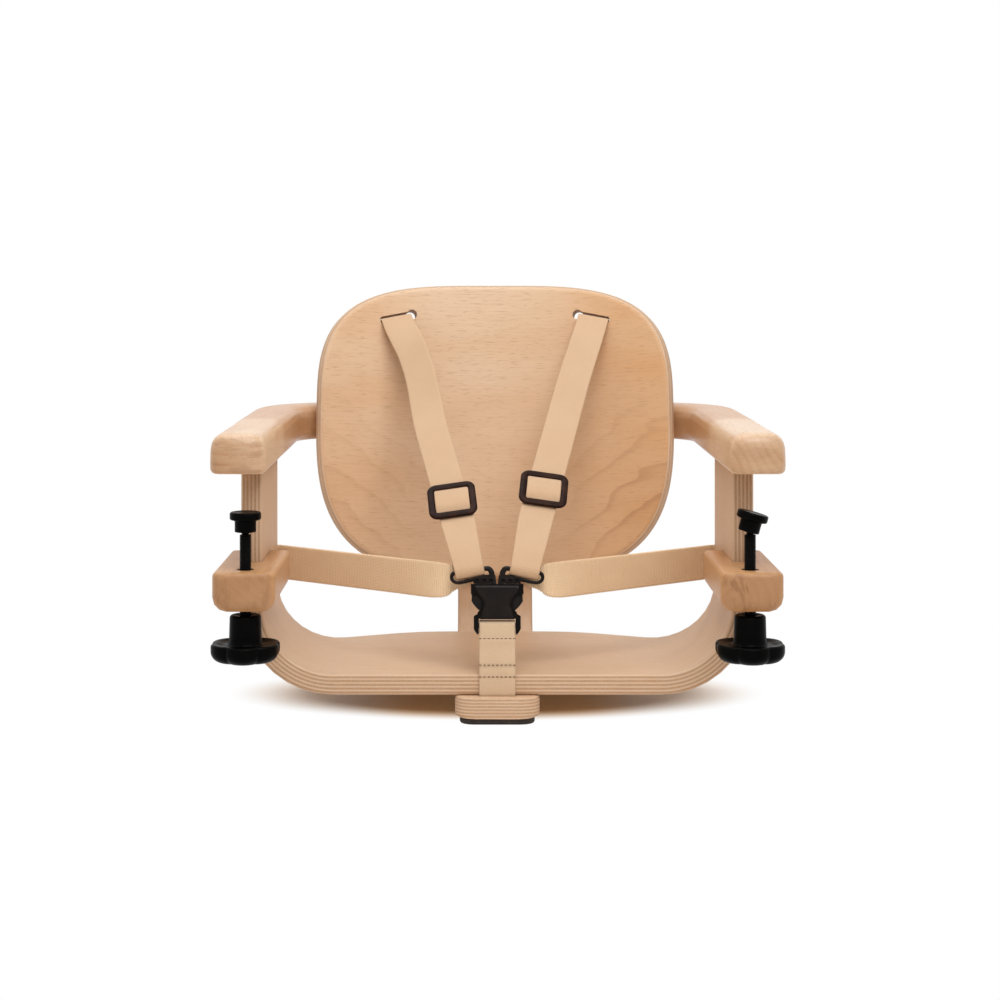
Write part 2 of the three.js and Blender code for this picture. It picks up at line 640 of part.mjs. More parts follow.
function arm() {
  const bendCentre = new THREE.Vector2(ARM_INSIDE - ARM_BEND, ARM_TAIL_FRONT - ARM_BEND);
  const radius = ARM_BEND + ARM_WIDTH / 2;
  const bend = (radius * Math.PI) / 2;
  const straight = bendCentre.y;
  const total = straight + bend + bendCentre.x - ARM_TAIL;
  const bends = Array.from({ length: 10 }, (_, i) => straight + (bend * i) / 9);
  const stations = [...tipSteps, ...bends, ...heelSteps.map((d) => total - d).reverse()];
  const rings = stations.map((s) => {
    const angle = THREE.MathUtils.clamp((s - straight) / radius, 0, Math.PI / 2);
    const outward = new THREE.Vector3(Math.cos(angle), Math.sin(angle), 0);
    const place = new THREE.Vector3(bendCentre.x, Math.min(s, straight), ARM_UNDERSIDE)
      .addScaledVector(outward, radius)
      .add(new THREE.Vector3(-Math.max(s - straight - bend, 0), 0, 0));
    return jawRing(place, outward, ARM_WIDTH, ARM_THICKNESS, s, total - s, -1);
  });
  const half = SEAT_PLY / 2 + FIT_GAP;
  const mortise = box(
    new THREE.Vector3(UPRIGHT_CENTRE - half, SEAT_FRONT - FIT_GAP, ARM_UNDERSIDE - TENON),
    new THREE.Vector3(UPRIGHT_CENTRE + half, UPRIGHT_REAR + FIT_GAP, ARM_UNDERSIDE + TENON + FIT_GAP),
  );
  return cut(loft(rings), mortise, backPanel(FIT_GAP), ...armScrews.map(hole));
}

function clampBlock() {
  const across = new THREE.Vector3(1, 0, 0);
  const stations = [...tipSteps, ...heelSteps.map((d) => BLOCK_LENGTH - d).reverse()];
  const rings = stations.map((s) => {
    const place = new THREE.Vector3(UPRIGHT_CENTRE, s, BLOCK_UNDERSIDE);
    return jawRing(place, across, BLOCK_WIDTH, BLOCK_THICKNESS, s, BLOCK_LENGTH - s, 1);
  });
  const half = SEAT_PLY / 2 + FIT_GAP;
  const fork = box(
    new THREE.Vector3(UPRIGHT_CENTRE - half, SEAT_FRONT - FIT_GAP, BLOCK_UNDERSIDE - BLOCK_THICKNESS),
    new THREE.Vector3(UPRIGHT_CENTRE + half, BLOCK_LENGTH * 2, BLOCK_TOP + BLOCK_THICKNESS),
  );
  const nutHole = onScrewAxis(turned([
    [0, BLOCK_UNDERSIDE - NUT_FLANGE],
    [NUT_FLANGE_RADIUS + FIT_GAP, BLOCK_UNDERSIDE - NUT_FLANGE],
    [NUT_FLANGE_RADIUS + FIT_GAP, BLOCK_UNDERSIDE + NUT_FLANGE + FIT_GAP],
    [NUT_RADIUS + FIT_GAP, BLOCK_UNDERSIDE + NUT_FLANGE + FIT_GAP],
    [NUT_RADIUS + FIT_GAP, BLOCK_TOP + NUT_FLANGE],
    [0, BLOCK_TOP + NUT_FLANGE],
  ]));
  return cut(loft(rings), fork, nutHole, ...blockScrews.map(hole));
}

// Clamp screws: nut in the block, threaded rod with its knob below, ball and swivel pad on top

function onScrewAxis(geometry) {
  return geometry.translate(UPRIGHT_CENTRE, SCREW_FROM_TIP, 0);
}

function insertNut() {
  const bore = ROD_RADIUS + THREAD_GAP;
  const foot = BLOCK_UNDERSIDE + FIT_GAP / 2;
  return turned([
    [bore, foot],
    [NUT_FLANGE_RADIUS, foot],
    [NUT_FLANGE_RADIUS, foot + NUT_FLANGE],
    [NUT_RADIUS, foot + NUT_FLANGE],
    [NUT_RADIUS, foot + NUT_LENGTH],
    [bore, foot + NUT_LENGTH],
    [bore, foot],
  ]);
}

function clampScrew() {
  const chamfer = ROD_RADIUS - BALL_NECK_RADIUS;
  const spigot = BALL_NECK_RADIUS - chamfer / 2 + THREAD_GAP;
  return turned([
    [0, ROD_BOTTOM],
    [ROD_RADIUS, ROD_BOTTOM],
    [ROD_RADIUS, ROD_TOP - chamfer],
    [ROD_RADIUS - chamfer * 0.6, ROD_TOP],
    [spigot, ROD_TOP],
    [spigot, ROD_TOP - ROD_SPIGOT_BORE],
    [0, ROD_TOP - ROD_SPIGOT_BORE],
  ]);
}

function ballTip() {
  const chamfer = ROD_RADIUS - BALL_NECK_RADIUS;
  const spigot = BALL_NECK_RADIUS - chamfer / 2;
  const start = Math.asin(BALL_NECK_RADIUS / BALL_RADIUS);
  const ball = Array.from({ length: BALL_STEPS + 1 }, (_, i) => {
    const angle = start + ((Math.PI - start) * i) / BALL_STEPS;
    const radius = i === BALL_STEPS ? 0 : BALL_RADIUS * Math.sin(angle);
    return [radius, BALL_CENTRE - BALL_RADIUS * Math.cos(angle)];
  });
  return turned([
    [0, ROD_TOP - ROD_SPIGOT_BORE + FIT_GAP],
    [spigot, ROD_TOP - ROD_SPIGOT_BORE + FIT_GAP],
    [spigot, ROD_TOP + FIT_GAP],
    [BALL_NECK_RADIUS, ROD_TOP + FIT_GAP],
    ...ball,
  ]);
}

function knob() {
  const lobed = (inset) => Array.from({ length: KNOB_LOBES * 6 }, (_, i) => {
    const angle = (i / (KNOB_LOBES * 6)) * FULL_TURN;
    const lobe = Math.abs(Math.cos((KNOB_LOBES / 2) * (angle + Math.PI / 2))) ** 0.7;
    const radius = KNOB_RADIUS - inset - KNOB_VALLEY * (1 - lobe);
    return [radius * Math.cos(angle), radius * Math.sin(angle)];
  });
  const heights = [
    [9, 0],
    [4, 1.4],
    [1, 4.5],
    [0, 8],
    [0, KNOB_FLANGE - 1.5],
    [1.5, KNOB_FLANGE],
  ];
  const rings = heights.map(([inset, height]) => (
    lobed(inset).map(([x, y]) => new THREE.Vector3(x, y, KNOB_BOTTOM + height))));
  const hub = turned([
    [0, KNOB_BOTTOM + KNOB_FLANGE / 2],
    [HUB_RADIUS + 1, KNOB_BOTTOM + KNOB_FLANGE / 2],
    [HUB_RADIUS, HUB_TOP - HUB_ROUND],
    [HUB_RADIUS - HUB_ROUND * 0.3, HUB_TOP - HUB_ROUND * 0.3],
    [HUB_RADIUS - HUB_ROUND, HUB_TOP],
    [0, HUB_TOP],
  ]);
  const bore = turned([
    [0, ROD_BOTTOM - FIT_GAP],
    [ROD_RADIUS + THREAD_GAP, ROD_BOTTOM - FIT_GAP],
    [ROD_RADIUS + THREAD_GAP, HUB_TOP + ROD_RADIUS],
    [0, HUB_TOP + ROD_RADIUS],
  ]);
  return cut(join(loft(rings), hub), bore);
}

function swivelPad() {
  const socket = BALL_RADIUS + BALL_GAP;
  const open = Math.acos(PAD_MOUTH_RADIUS / socket);
  const mouth = BALL_RADIUS - socket * Math.sin(open);
  const hollow = Array.from({ length: BALL_STEPS + 1 }, (_, i) => {
    const angle = -open + ((Math.PI / 2 + open) * i) / BALL_STEPS;
    const radius = i === BALL_STEPS ? 0 : socket * Math.cos(angle);
    return [radius, BALL_RADIUS + socket * Math.sin(angle)];
  });
  const top = PAD_COLLAR + PAD_DISC;
  return turned([
    ...hollow.reverse(),
    [PAD_MOUTH_RADIUS, Math.min(mouth, BALL_RADIUS) * 0.5],
    [PAD_MOUTH_RADIUS + 0.6, 0],
    [PAD_COLLAR_RADIUS - 0.6, 0],
    [PAD_COLLAR_RADIUS, 0.6],
    [PAD_COLLAR_RADIUS, PAD_COLLAR - 0.5],
    [PAD_RADIUS - 1, PAD_COLLAR],
    [PAD_RADIUS, PAD_COLLAR + 1],
    [PAD_RADIUS, top - 1.2],
    [PAD_RADIUS - 1.2, top],
    [0, top],
  ]).translate(0, 0, -BALL_RADIUS);
}

// Buckle: female housing on the crotch webbing, and a male half for each side

const buckleMatrix = new THREE.Matrix4()
  .makeRotationX(Math.PI / 2 - BUCKLE_LEAN)
  .setPosition(0, BUCKLE_BACK, BUCKLE_HEIGHT);

const UP_THE_BUCKLE = new THREE.Vector3(0, Math.sin(BUCKLE_LEAN), Math.cos(BUCKLE_LEAN));

function buckleToChair(u, v, w = 0) {
  return new THREE.Vector3(u, v, w).applyMatrix4(buckleMatrix);
}

function buckleBody() {
  const half = [
    [BUCKLE_HALF_WIDTH, 0],
    [BUCKLE_HALF_WIDTH, -BUCKLE_BAND],
    [BUCKLE_WAIST + 2.5, -BUCKLE_BAND - 1],
    [BUCKLE_WAIST, -BUCKLE_BAND - 4],
    [BUCKLE_WAIST, -BUCKLE_CAVITY_DEPTH + 3],
    [BUCKLE_NECK, -BUCKLE_CAVITY_DEPTH],
    [BUCKLE_NECK, -BUCKLE_CAVITY_DEPTH - 1],
    [STRAP_WIDTH / 2 + FIT_GAP + BUCKLE_EAR_WALL, -BUCKLE_CAVITY_DEPTH - 2.5],
    [STRAP_WIDTH / 2 + FIT_GAP + BUCKLE_EAR_WALL, -BUCKLE_EAR + 3.5],
    [STRAP_WIDTH / 2 + FIT_GAP + 1.4, -BUCKLE_EAR],
    [STRAP_WIDTH / 2 + FIT_GAP, -BUCKLE_EAR],
    [STRAP_WIDTH / 2 + FIT_GAP, -BUCKLE_BODY],
  ];
  const outline = polygon([...half, ...half.map(([u, v]) => [-u, v]).reverse()]);
  const mouth = BUCKLE_HALF_WIDTH - BUCKLE_BAND_WALL;
  const past = BUCKLE_HALF_WIDTH + BUCKLE_BAND;
  const cavityHalf = [
    [mouth, 1],
    [mouth, -BUCKLE_BAND],
    [past, -BUCKLE_BAND],
    [past, -BUCKLE_CAVITY_DEPTH],
  ];
  const cavity = polygon([...cavityHalf, ...cavityHalf.map(([u, v]) => [-u, v]).reverse()]);
  const bar = turned([
    [0, -STRAP_WIDTH / 2 - FIT_GAP - 1],
    [BUCKLE_BAR_RADIUS, -STRAP_WIDTH / 2 - FIT_GAP - 1],
    [BUCKLE_BAR_RADIUS, STRAP_WIDTH / 2 + FIT_GAP + 1],
    [0, STRAP_WIDTH / 2 + FIT_GAP + 1],
  ], SMALL_SIDES).rotateY(Math.PI / 2).translate(0, -BUCKLE_BAR_DROP, 0);
  return join(cut(plate(outline, BUCKLE_THICKNESS), plate(cavity, BUCKLE_CAVITY)), bar);
}

// Centre line of the shoulder bar on the right-hand half, at a place across
function shoulderBarHeight(u) {
  const share = (u - PRONG_BAR_INNER) / (PRONG_BAR_OUTER - PRONG_BAR_INNER);
  return PRONG_BAR_HEIGHT - PRONG_BAR_FALL * share;
}
const lapBarCentre = PRONG_BAR_OUTER + PRONG_LAP_SLOT + PRONG_LAP_BAR / 2;
const lapBarTop = shoulderBarHeight(PRONG_BAR_OUTER) + PRONG_BAR / 2;
const lapSlotMiddle = (lapBarTop + PRONG_FOOT) / 2;
const shoulderSlotMiddle = (PRONG_BAR_INNER + PRONG_BAR_OUTER) / 2 - STRAP_GAP * 5;

function buckleHalf() {
  const outer = PRONG_BAR_OUTER + PRONG_LAP_SLOT + PRONG_LAP_BAR;
  const upper = (u) => shoulderBarHeight(u) + PRONG_BAR / 2;
  const lower = (u) => shoulderBarHeight(u) - PRONG_BAR / 2;
  const wing = (u) => lower(u) - PRONG_SLOT;
  const shape = new THREE.Shape();
  shape.moveTo(PRONG_HALF_GAP, -PRONG_TONGUE_DEPTH);
  shape.lineTo(PRONG_TONGUE - 1.5, -PRONG_TONGUE_DEPTH);
  shape.lineTo(PRONG_TONGUE, -PRONG_TONGUE_DEPTH + 2);
  shape.lineTo(PRONG_TONGUE, 0.6);
  shape.lineTo(BUCKLE_HALF_WIDTH + FIT_GAP, 0.6);
  shape.quadraticCurveTo(PRONG_BAR_OUTER - 8, PRONG_FOOT, PRONG_BAR_OUTER, PRONG_FOOT);
  shape.lineTo(outer - 1, PRONG_FOOT);
  shape.lineTo(outer, PRONG_FOOT + 1);
  shape.lineTo(outer, lapBarTop - 1);
  shape.lineTo(outer - 1, lapBarTop);
  shape.lineTo(PRONG_BAR_OUTER, upper(PRONG_BAR_OUTER));
  shape.lineTo(PRONG_BAR_INNER, upper(PRONG_BAR_INNER));
  shape.quadraticCurveTo(PRONG_BAR_INNER - 2, PRONG_HOOK_TOP + 0.5, PRONG_BAR_INNER - 5, PRONG_HOOK_TOP - 1);
  shape.quadraticCurveTo(PRONG_HALF_GAP + 1, PRONG_HOOK_TOP - 4, PRONG_HALF_GAP, 1.5);
  const slotEnds = [-1, 1].map((side) => shoulderSlotMiddle + side * (SHOULDER_GATHER / 2 + STRAP_GAP * 3));
  const shoulderSlot = new THREE.Path([
    new THREE.Vector2(slotEnds[0], lower(slotEnds[0])),
    new THREE.Vector2(slotEnds[1], lower(slotEnds[1])),
    new THREE.Vector2(slotEnds[1], wing(slotEnds[1])),
    new THREE.Vector2(slotEnds[0], wing(slotEnds[0])),
  ]);
  const lapSlotHalf = LAP_GATHER / 2 + STRAP_GAP;
  const lapSlot = new THREE.Path([
    new THREE.Vector2(PRONG_BAR_OUTER, lapSlotMiddle - lapSlotHalf),
    new THREE.Vector2(PRONG_BAR_OUTER + PRONG_LAP_SLOT, lapSlotMiddle - lapSlotHalf),
    new THREE.Vector2(PRONG_BAR_OUTER + PRONG_LAP_SLOT, lapSlotMiddle + lapSlotHalf),
    new THREE.Vector2(PRONG_BAR_OUTER, lapSlotMiddle + lapSlotHalf),
  ]);
  shape.holes.push(shoulderSlot, lapSlot);
  return plate(shape, PRONG_THICKNESS, 6).applyMatrix4(buckleMatrix);
}

function latchArm() {
  const inner = LATCH_PIVOT - LATCH_STEM / 2;
  const catchTop = -BUCKLE_BAND - FIT_GAP;
  const shape = new THREE.Shape();
  shape.moveTo(inner, 0.6 - FIT_GAP);
  shape.lineTo(inner, -LATCH_DEPTH + 3);
  shape.quadraticCurveTo(inner, -LATCH_DEPTH, inner + 3, -LATCH_DEPTH);
  shape.quadraticCurveTo(BUCKLE_HALF_WIDTH - 3, -LATCH_DEPTH + 3, BUCKLE_HALF_WIDTH - 0.4, -BUCKLE_BAND - 5);
  shape.lineTo(BUCKLE_HALF_WIDTH - 0.6, catchTop);
  shape.lineTo(inner + LATCH_STEM + 1.5, catchTop);
  shape.lineTo(inner + LATCH_STEM, catchTop + 2);
  shape.lineTo(inner + LATCH_STEM, 0.6 - FIT_GAP);
  return plate(shape, PRONG_THICKNESS, 5).applyMatrix4(buckleMatrix);
}

// Webbing: a flat section carried along a path whose corners are rounded

function roundedPath(points, round, steps = 4) {
  const path = [points[0]];
  for (let i = 1; i + 1 < points.length; i += 1) {
    const into = new THREE.Vector3().subVectors(points[i], points[i - 1]);
    const onward = new THREE.Vector3().subVectors(points[i + 1], points[i]);
    const half = into.angleTo(onward) / 2;
    const cutBack = Math.min(round * Math.tan(half), into.length() * 0.49, onward.length() * 0.49);
    const from = points[i].clone().addScaledVector(into.normalize(), -cutBack);
    const to = points[i].clone().addScaledVector(onward.normalize(), cutBack);
    const bend = new THREE.QuadraticBezierCurve3(from, points[i], to);
    path.push(...bend.getPoints(steps));
  }
  return [...path, points[points.length - 1]];
}

// Width of webbing that is gathered at a bar, from its distance past the bar
function gathered(width, past) {
  const away = THREE.MathUtils.clamp((-past - PRONG_LOOP) / GATHER_LENGTH, 0, 1);
  return width + (STRAP_WIDTH - width) * away;
}

// Turn round a bar: from one side of it to the other, through the front
function roundBar(centre, side, front, radius, steps = 6) {
  return Array.from({ length: steps + 1 }, (_, i) => {
    const angle = (Math.PI * i) / steps;
    return centre.clone()
      .addScaledVector(side, radius * Math.cos(angle))
      .addScaledVector(front, radius * Math.sin(angle));
  });
}

// widthAt gives the webbing's width direction and widthOf its width, from the share of the path done
function webbing(path, widthAt, widthOf = () => STRAP_WIDTH) {
  const rings = path.map((place, i) => {
    const share = i / (path.length - 1);
    const before = path[Math.max(i - 1, 0)];
    const after = path[Math.min(i + 1, path.length - 1)];
    const along = new THREE.Vector3().subVectors(after, before).normalize();
    const across = widthAt(place, share).clone();
    across.addScaledVector(along, -across.dot(along)).normalize();
    const out = new THREE.Vector3().crossVectors(across, along);
    const half = widthOf(place, share) / 2;
    return [[-1, -1], [1, -1], [1, 1], [-1, 1]].map(([a, b]) => (
      place.clone().addScaledVector(across, a * half).addScaledVector(out, (b * STRAP) / 2)));
  });
  return loft(rings);
}

// Shoulder webbing: anchored behind the backrest, through its slot, down to the buckle's bar

const shoulderWidth = buckleToChair(PRONG_BAR_OUTER, shoulderBarHeight(PRONG_BAR_OUTER))
  .sub(buckleToChair(PRONG_BAR_INNER, shoulderBarHeight(PRONG_BAR_INNER)))
  .normalize();
const lieOffset = STRAP_GAP + STRAP / 2;

function slotFloor(depth) {
  const { down, out } = slotAxes();
  return slotCentre.clone()
    .addScaledVector(down, SLOT_WIDTH / 2 - lieOffset - STRAP_GAP)
    .addScaledVector(out, -depth);
}

function shoulderStart() {
  return slotFloor(-lieOffset);
}

// Axes of the straight stretch: across, up along it and out of its face
function shoulderAxes() {
  const along = SHOULDER_FALL.clone().negate();
  const across = shoulderWidth.clone().addScaledVector(along, -shoulderWidth.dot(along)).normalize();
  const out = new THREE.Vector3().crossVectors(across, along);
  return { across, along, out };
}

function shoulderAnchor() {
  const { down, out } = slotAxes();
  const seat = slotFloor(BACK_PLY + lieOffset)
    .addScaledVector(down, REAR_ANCHOR)
    .addScaledVector(out, -lieOffset);
  return { kind: ANCHOR_SCREW, seat, direction: out };
}

function shoulderStrap() {
  const { along: slotAlong, down, out: slotOut } = slotAxes();
  const behind = slotFloor(BACK_PLY + lieOffset);
  const start = shoulderStart();
  const knee = start.clone().addScaledVector(SHOULDER_FALL, SHOULDER_RUN);
  const bar = buckleToChair(shoulderSlotMiddle, shoulderBarHeight(shoulderSlotMiddle));
  const toBar = new THREE.Vector3().subVectors(bar, knee).normalize();
  const upper = new THREE.Vector3().crossVectors(toBar, shoulderWidth).normalize();
  if (upper.z < 0) upper.negate();
  const turn = roundBar(bar, upper, toBar, PRONG_LOOP);
  const lowest = turn[turn.length - 1];
  const tailEnd = lowest.clone()
    .addScaledVector(toBar, -STRAP_TAIL)
    .addScaledVector(upper, PRONG_LOOP);
  const rearEnd = behind.clone().addScaledVector(down, REAR_LEG);
  const easing = start.clone().addScaledVector(SHOULDER_FALL, STRAP_WIDTH / 2);
  const path = [
    ...roundedPath([rearEnd, behind, start, easing], STRAP_TURN),
    ...roundedPath([easing.clone().addScaledVector(SHOULDER_FALL, 1), knee, turn[0]], STRAP_WIDTH * 2),
    ...turn.slice(1),
    tailEnd,
  ];
  const inFront = (place) => place.clone().sub(slotCentre).dot(slotOut);
  const widthAt = (place) => (inFront(place) > STRAP_TURN ? shoulderWidth : slotAlong);
  const widthOf = (place) => gathered(SHOULDER_GATHER, place.clone().sub(bar).dot(toBar));
  return cut(webbing(path, widthAt, widthOf), hole(shoulderAnchor()));
}

// Adjuster: two front bars over the webbing and one bar behind it, joined by its side rails

function adjuster(side) {
  const inner = STRAP_WIDTH / 2 + STRAP_GAP;
  const outer = inner + ADJUSTER_RAIL;
  const lift = STRAP / 2 + STRAP_GAP;
  const frame = rectangleShape(outer * 2, ADJUSTER_HEIGHT, ADJUSTER_ROUND);
  const gap = ADJUSTER_HEIGHT - 2 * ADJUSTER_BAR;
  frame.holes.push(new THREE.Path(roundedRing(
    new THREE.Vector2(-inner, -gap / 2),
    new THREE.Vector2(inner, gap / 2),
    1.5,
    1.5,
    2,
  )));
  const front = plate(frame, ADJUSTER_FRONT).translate(0, 0, lift + ADJUSTER_FRONT / 2);
  const rail = (x) => box(
    new THREE.Vector3(x - ADJUSTER_RAIL / 2, -ADJUSTER_BAR, -lift - ADJUSTER_FRONT),
    new THREE.Vector3(x + ADJUSTER_RAIL / 2, ADJUSTER_BAR, lift + ADJUSTER_FRONT / 2),
  );
  const rear = box(
    new THREE.Vector3(-outer + 0.5, -ADJUSTER_BAR / 2, -lift - ADJUSTER_FRONT),
    new THREE.Vector3(outer - 0.5, ADJUSTER_BAR / 2, -lift),
  );
  const railMiddle = inner + ADJUSTER_RAIL / 2;
  const { across, along, out } = shoulderAxes();
  const place = shoulderStart().addScaledVector(SHOULDER_FALL, ADJUSTER_DROP[side]);
  return join(front, rail(-railMiddle), rail(railMiddle), rear)
    .applyMatrix4(standing(place, across, along, out));
}

// Lap webbing: screwed to the outer face of the upright, round its rear edge, to the buckle

function lapAnchor() {
  const seat = new THREE.Vector3(
    SEAT_HALF_WIDTH + STRAP_GAP + STRAP + STRAP_GAP,
    UPRIGHT_REAR - LAP_END / 2,
    LAP_HEIGHT,
  );
  return { kind: ANCHOR_SCREW, seat, direction: new THREE.Vector3(-1, 0, 0) };
}

function lapStrap() {
  const outside = SEAT_HALF_WIDTH + lieOffset;
  const inside = SEAT_HALF_WIDTH - SEAT_PLY - lieOffset;
  const behind = UPRIGHT_REAR + lieOffset + STRAP_GAP;
  const level = (x, y) => new THREE.Vector3(x, y, LAP_HEIGHT);
  const bar = buckleToChair(lapBarCentre, lapSlotMiddle);
  const fromUpright = level(inside - STRAP_TURN, behind - STRAP_TURN / 2);
  const toBar = new THREE.Vector3().subVectors(bar, fromUpright).setZ(0);
  toBar.addScaledVector(UP_THE_BUCKLE, -toBar.dot(UP_THE_BUCKLE)).normalize();
  const outer = new THREE.Vector3().crossVectors(toBar, UP_THE_BUCKLE);
  const turn = roundBar(bar, outer, toBar, PRONG_LAP_LOOP);
  const last = turn[turn.length - 1];
  const tail = last.clone()
    .addScaledVector(toBar, -STRAP_TAIL)
    .addScaledVector(outer, PRONG_LAP_LOOP);
  const gatherStart = turn[0].clone().addScaledVector(toBar, -GATHER_LENGTH - PRONG_LOOP);
  gatherStart.z = LAP_HEIGHT;
  const path = [
    ...roundedPath([
      level(outside, UPRIGHT_REAR - LAP_END),
      level(outside, behind),
      level(inside, behind),
      gatherStart,
    ], STRAP_TURN),
    turn[0].clone().addScaledVector(toBar, -PRONG_LOOP),
    ...turn,
    tail,
  ];
  const pastBar = (place) => place.clone().sub(bar).dot(toBar);
  const widthAt = (place) => (pastBar(place) < -GATHER_LENGTH - PRONG_LOOP ? UPWARD : UP_THE_BUCKLE);
  const widthOf = (place) => gathered(LAP_GATHER, pastBar(place));
  return cut(webbing(path, widthAt, widthOf), hole(lapAnchor()));
}

// Crotch webbing: sewn round the buckle's bar, down over the seat's edge, clamped under the seat

function crotchStrap() {
  const bar = buckleToChair(0, -BUCKLE_BAR_DROP);
  const front = SEAT_FRONT - lieOffset;
  const under = SEAT_UNDERSIDE - GLUE_LINE - lieOffset;
  const at = (y, z) => new THREE.Vector3(0, y, z);
  const seatTop = SEAT_UNDERSIDE + SEAT_PLY;
  const outOfBuckle = new THREE.Vector3(0, -Math.cos(BUCKLE_LEAN), Math.sin(BUCKLE_LEAN));
  const radius = BUCKLE_BAR_RADIUS + STRAP_GAP + STRAP / 2;
  const turn = roundBar(bar, outOfBuckle.clone().negate(), UP_THE_BUCKLE, radius);
  const edge = at(front, seatTop + PLY_EDGE_ROUND);
  const tail = turn[0].clone().lerp(edge, 0.6).addScaledVector(outOfBuckle, -STRAP - STRAP_GAP);
  const path = [
    tail,
    ...turn,
    ...roundedPath([
      turn[turn.length - 1].clone().lerp(edge, 0.1),
      edge,
      at(front, under),
      at(SEAT_FRONT + CROTCH_END, under),
    ], STRAP_TURN),
  ];
  return cut(webbing(path, () => new THREE.Vector3(1, 0, 0)), hole(spineSeatScrews[0]));
}

// The whole chair, moved so that the origin lies under the front foot

const chair = new THREE.Group();
chair.position.y = -FRONT_PAD_CENTRE;

function add(name, geometry, finish, parent = chair) {
  const mesh = new THREE.Mesh(merged(geometry), finish);
  mesh.geometry.computeVertexNormals();
  mesh.name = name;
  parent.add(mesh);
  return mesh;
}

function addPair(name, geometry, finish) {
  add(`left_${name}`, mirrored(geometry), finish);
  add(`right_${name}`, geometry, finish);
}

add("seat_shell", seatShell(), BEECH_VENEER);
add("backrest", backrest(), BEECH_VENEER);
add("spine", spine(), BEECH_VENEER);
add("front_foot_pad", footPad(FRONT_PAD_CENTRE), RUBBER);
add("rear_foot_pad", footPad(REAR_PAD_CENTRE), RUBBER);
addPair("arm", arm(), BEECH_SOLID);
addPair("clamp_block", clampBlock(), BEECH_SOLID);

const turnedPieces = [
  ["insert_nut", insertNut(), ZINC_STEEL],
  ["clamp_screw", clampScrew(), BLACK_STEEL],
  ["knob", knob(), BLACK_PLASTIC],
  ["ball_tip", ballTip(), BLACK_STEEL],
];
for (const [name, geometry, finish] of turnedPieces) {
  addPair(name, onScrewAxis(geometry), finish);
}
for (const side of ["left", "right"]) {
  const pad = add(`${side}_swivel_pad`, swivelPad(), BLACK_PLASTIC);
  pad.position.set(side === "left" ? -UPRIGHT_CENTRE : UPRIGHT_CENTRE, SCREW_FROM_TIP, BALL_CENTRE);
  pad.rotation.y = PAD_TILT[side];
}

addPair("shoulder_strap", shoulderStrap(), WEBBING);
addPair("lap_strap", lapStrap(), WEBBING);
add("crotch_strap", crotchStrap(), WEBBING);
add("left_strap_adjuster", mirrored(adjuster("left")), BLACK_PLASTIC);
add("right_strap_adjuster", adjuster("right"), BLACK_PLASTIC);
add("buckle_body", buckleBody().applyMatrix4(buckleMatrix), BLACK_PLASTIC);
addPair("buckle_prong", buckleHalf(), BLACK_PLASTIC);
addPair("latch_arm", latchArm(), BLACK_PLASTIC);

addPair("shoulder_anchor_screw", screw(shoulderAnchor()), ZINC_STEEL);
addPair("lap_anchor_screw", screw(lapAnchor()), ZINC_STEEL);
armScrews.forEach((place, i) => addPair(`arm_screw_${i + 1}`, screw(place), ZINC_STEEL));
blockScrews.forEach((place, i) => addPair(`block_screw_${i + 1}`, screw(place), ZINC_STEEL));
spineBackScrews.forEach((place, i) => add(`back_screw_${i + 1}`, screw(place), ZINC_STEEL));
spineSeatScrews.forEach((place, i) => add(`seat_screw_${i + 1}`, screw(place), ZINC_STEEL));

export default chair;
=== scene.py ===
"""Looks of a wooden child seat that clamps to a table edge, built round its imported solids.

Everything is in metres in the frame of the solids: +X right seen from the front, +Y back, +Z up.
"""

import json
import math

import bmesh
import bpy
import numpy as np
from mathutils import Matrix, Vector


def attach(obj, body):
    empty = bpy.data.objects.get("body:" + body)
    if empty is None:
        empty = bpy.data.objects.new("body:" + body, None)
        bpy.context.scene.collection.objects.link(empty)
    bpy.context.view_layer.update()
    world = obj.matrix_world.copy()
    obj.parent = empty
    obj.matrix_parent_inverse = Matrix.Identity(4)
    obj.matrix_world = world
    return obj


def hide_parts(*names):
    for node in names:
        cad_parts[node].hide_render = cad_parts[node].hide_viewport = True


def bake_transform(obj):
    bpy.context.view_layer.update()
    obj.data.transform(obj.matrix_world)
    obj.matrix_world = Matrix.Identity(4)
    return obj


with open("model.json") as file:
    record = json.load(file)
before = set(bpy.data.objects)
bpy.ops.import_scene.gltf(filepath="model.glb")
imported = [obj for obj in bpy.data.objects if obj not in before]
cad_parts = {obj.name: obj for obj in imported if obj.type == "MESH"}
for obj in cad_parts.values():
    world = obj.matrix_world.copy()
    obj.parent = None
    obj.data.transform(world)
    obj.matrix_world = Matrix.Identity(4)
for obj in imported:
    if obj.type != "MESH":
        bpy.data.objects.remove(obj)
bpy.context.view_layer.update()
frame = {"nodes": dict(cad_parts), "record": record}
scene = bpy.context.scene
scene.view_settings.view_transform = "Standard"

# Bent plywood seat
SEAT_PLY = 0.015
SEAT_HALF_WIDTH = 0.184
SEAT_CORNER = 0.066
SEAT_UNDERSIDE = 0.0202
SEAT_FRONT = -0.017
UPRIGHT_REAR = 0.098
SEAT_LAYERS = 11

# Bent plywood spine and the lean of the back
SPINE_PLY = 0.015
SPINE_LAYERS = 13
SPINE_TOP = 0.020
SPINE_BEND = 0.040
SPINE_BEND_START = 0.157
RECLINE = math.radians(14)
UP_THE_BACK = np.array([0, math.sin(RECLINE), math.cos(RECLINE)])
OUT_OF_BACK = np.array([0, -math.cos(RECLINE), math.sin(RECLINE)])
SIDEWAYS = np.array([1.0, 0, 0])
UPWARD = np.array([0, 0, 1.0])
SPINE_FACE = np.array([
    0,
    SPINE_BEND_START + SPINE_BEND * math.cos(RECLINE),
    SPINE_TOP + SPINE_BEND - SPINE_BEND * math.sin(RECLINE),
])

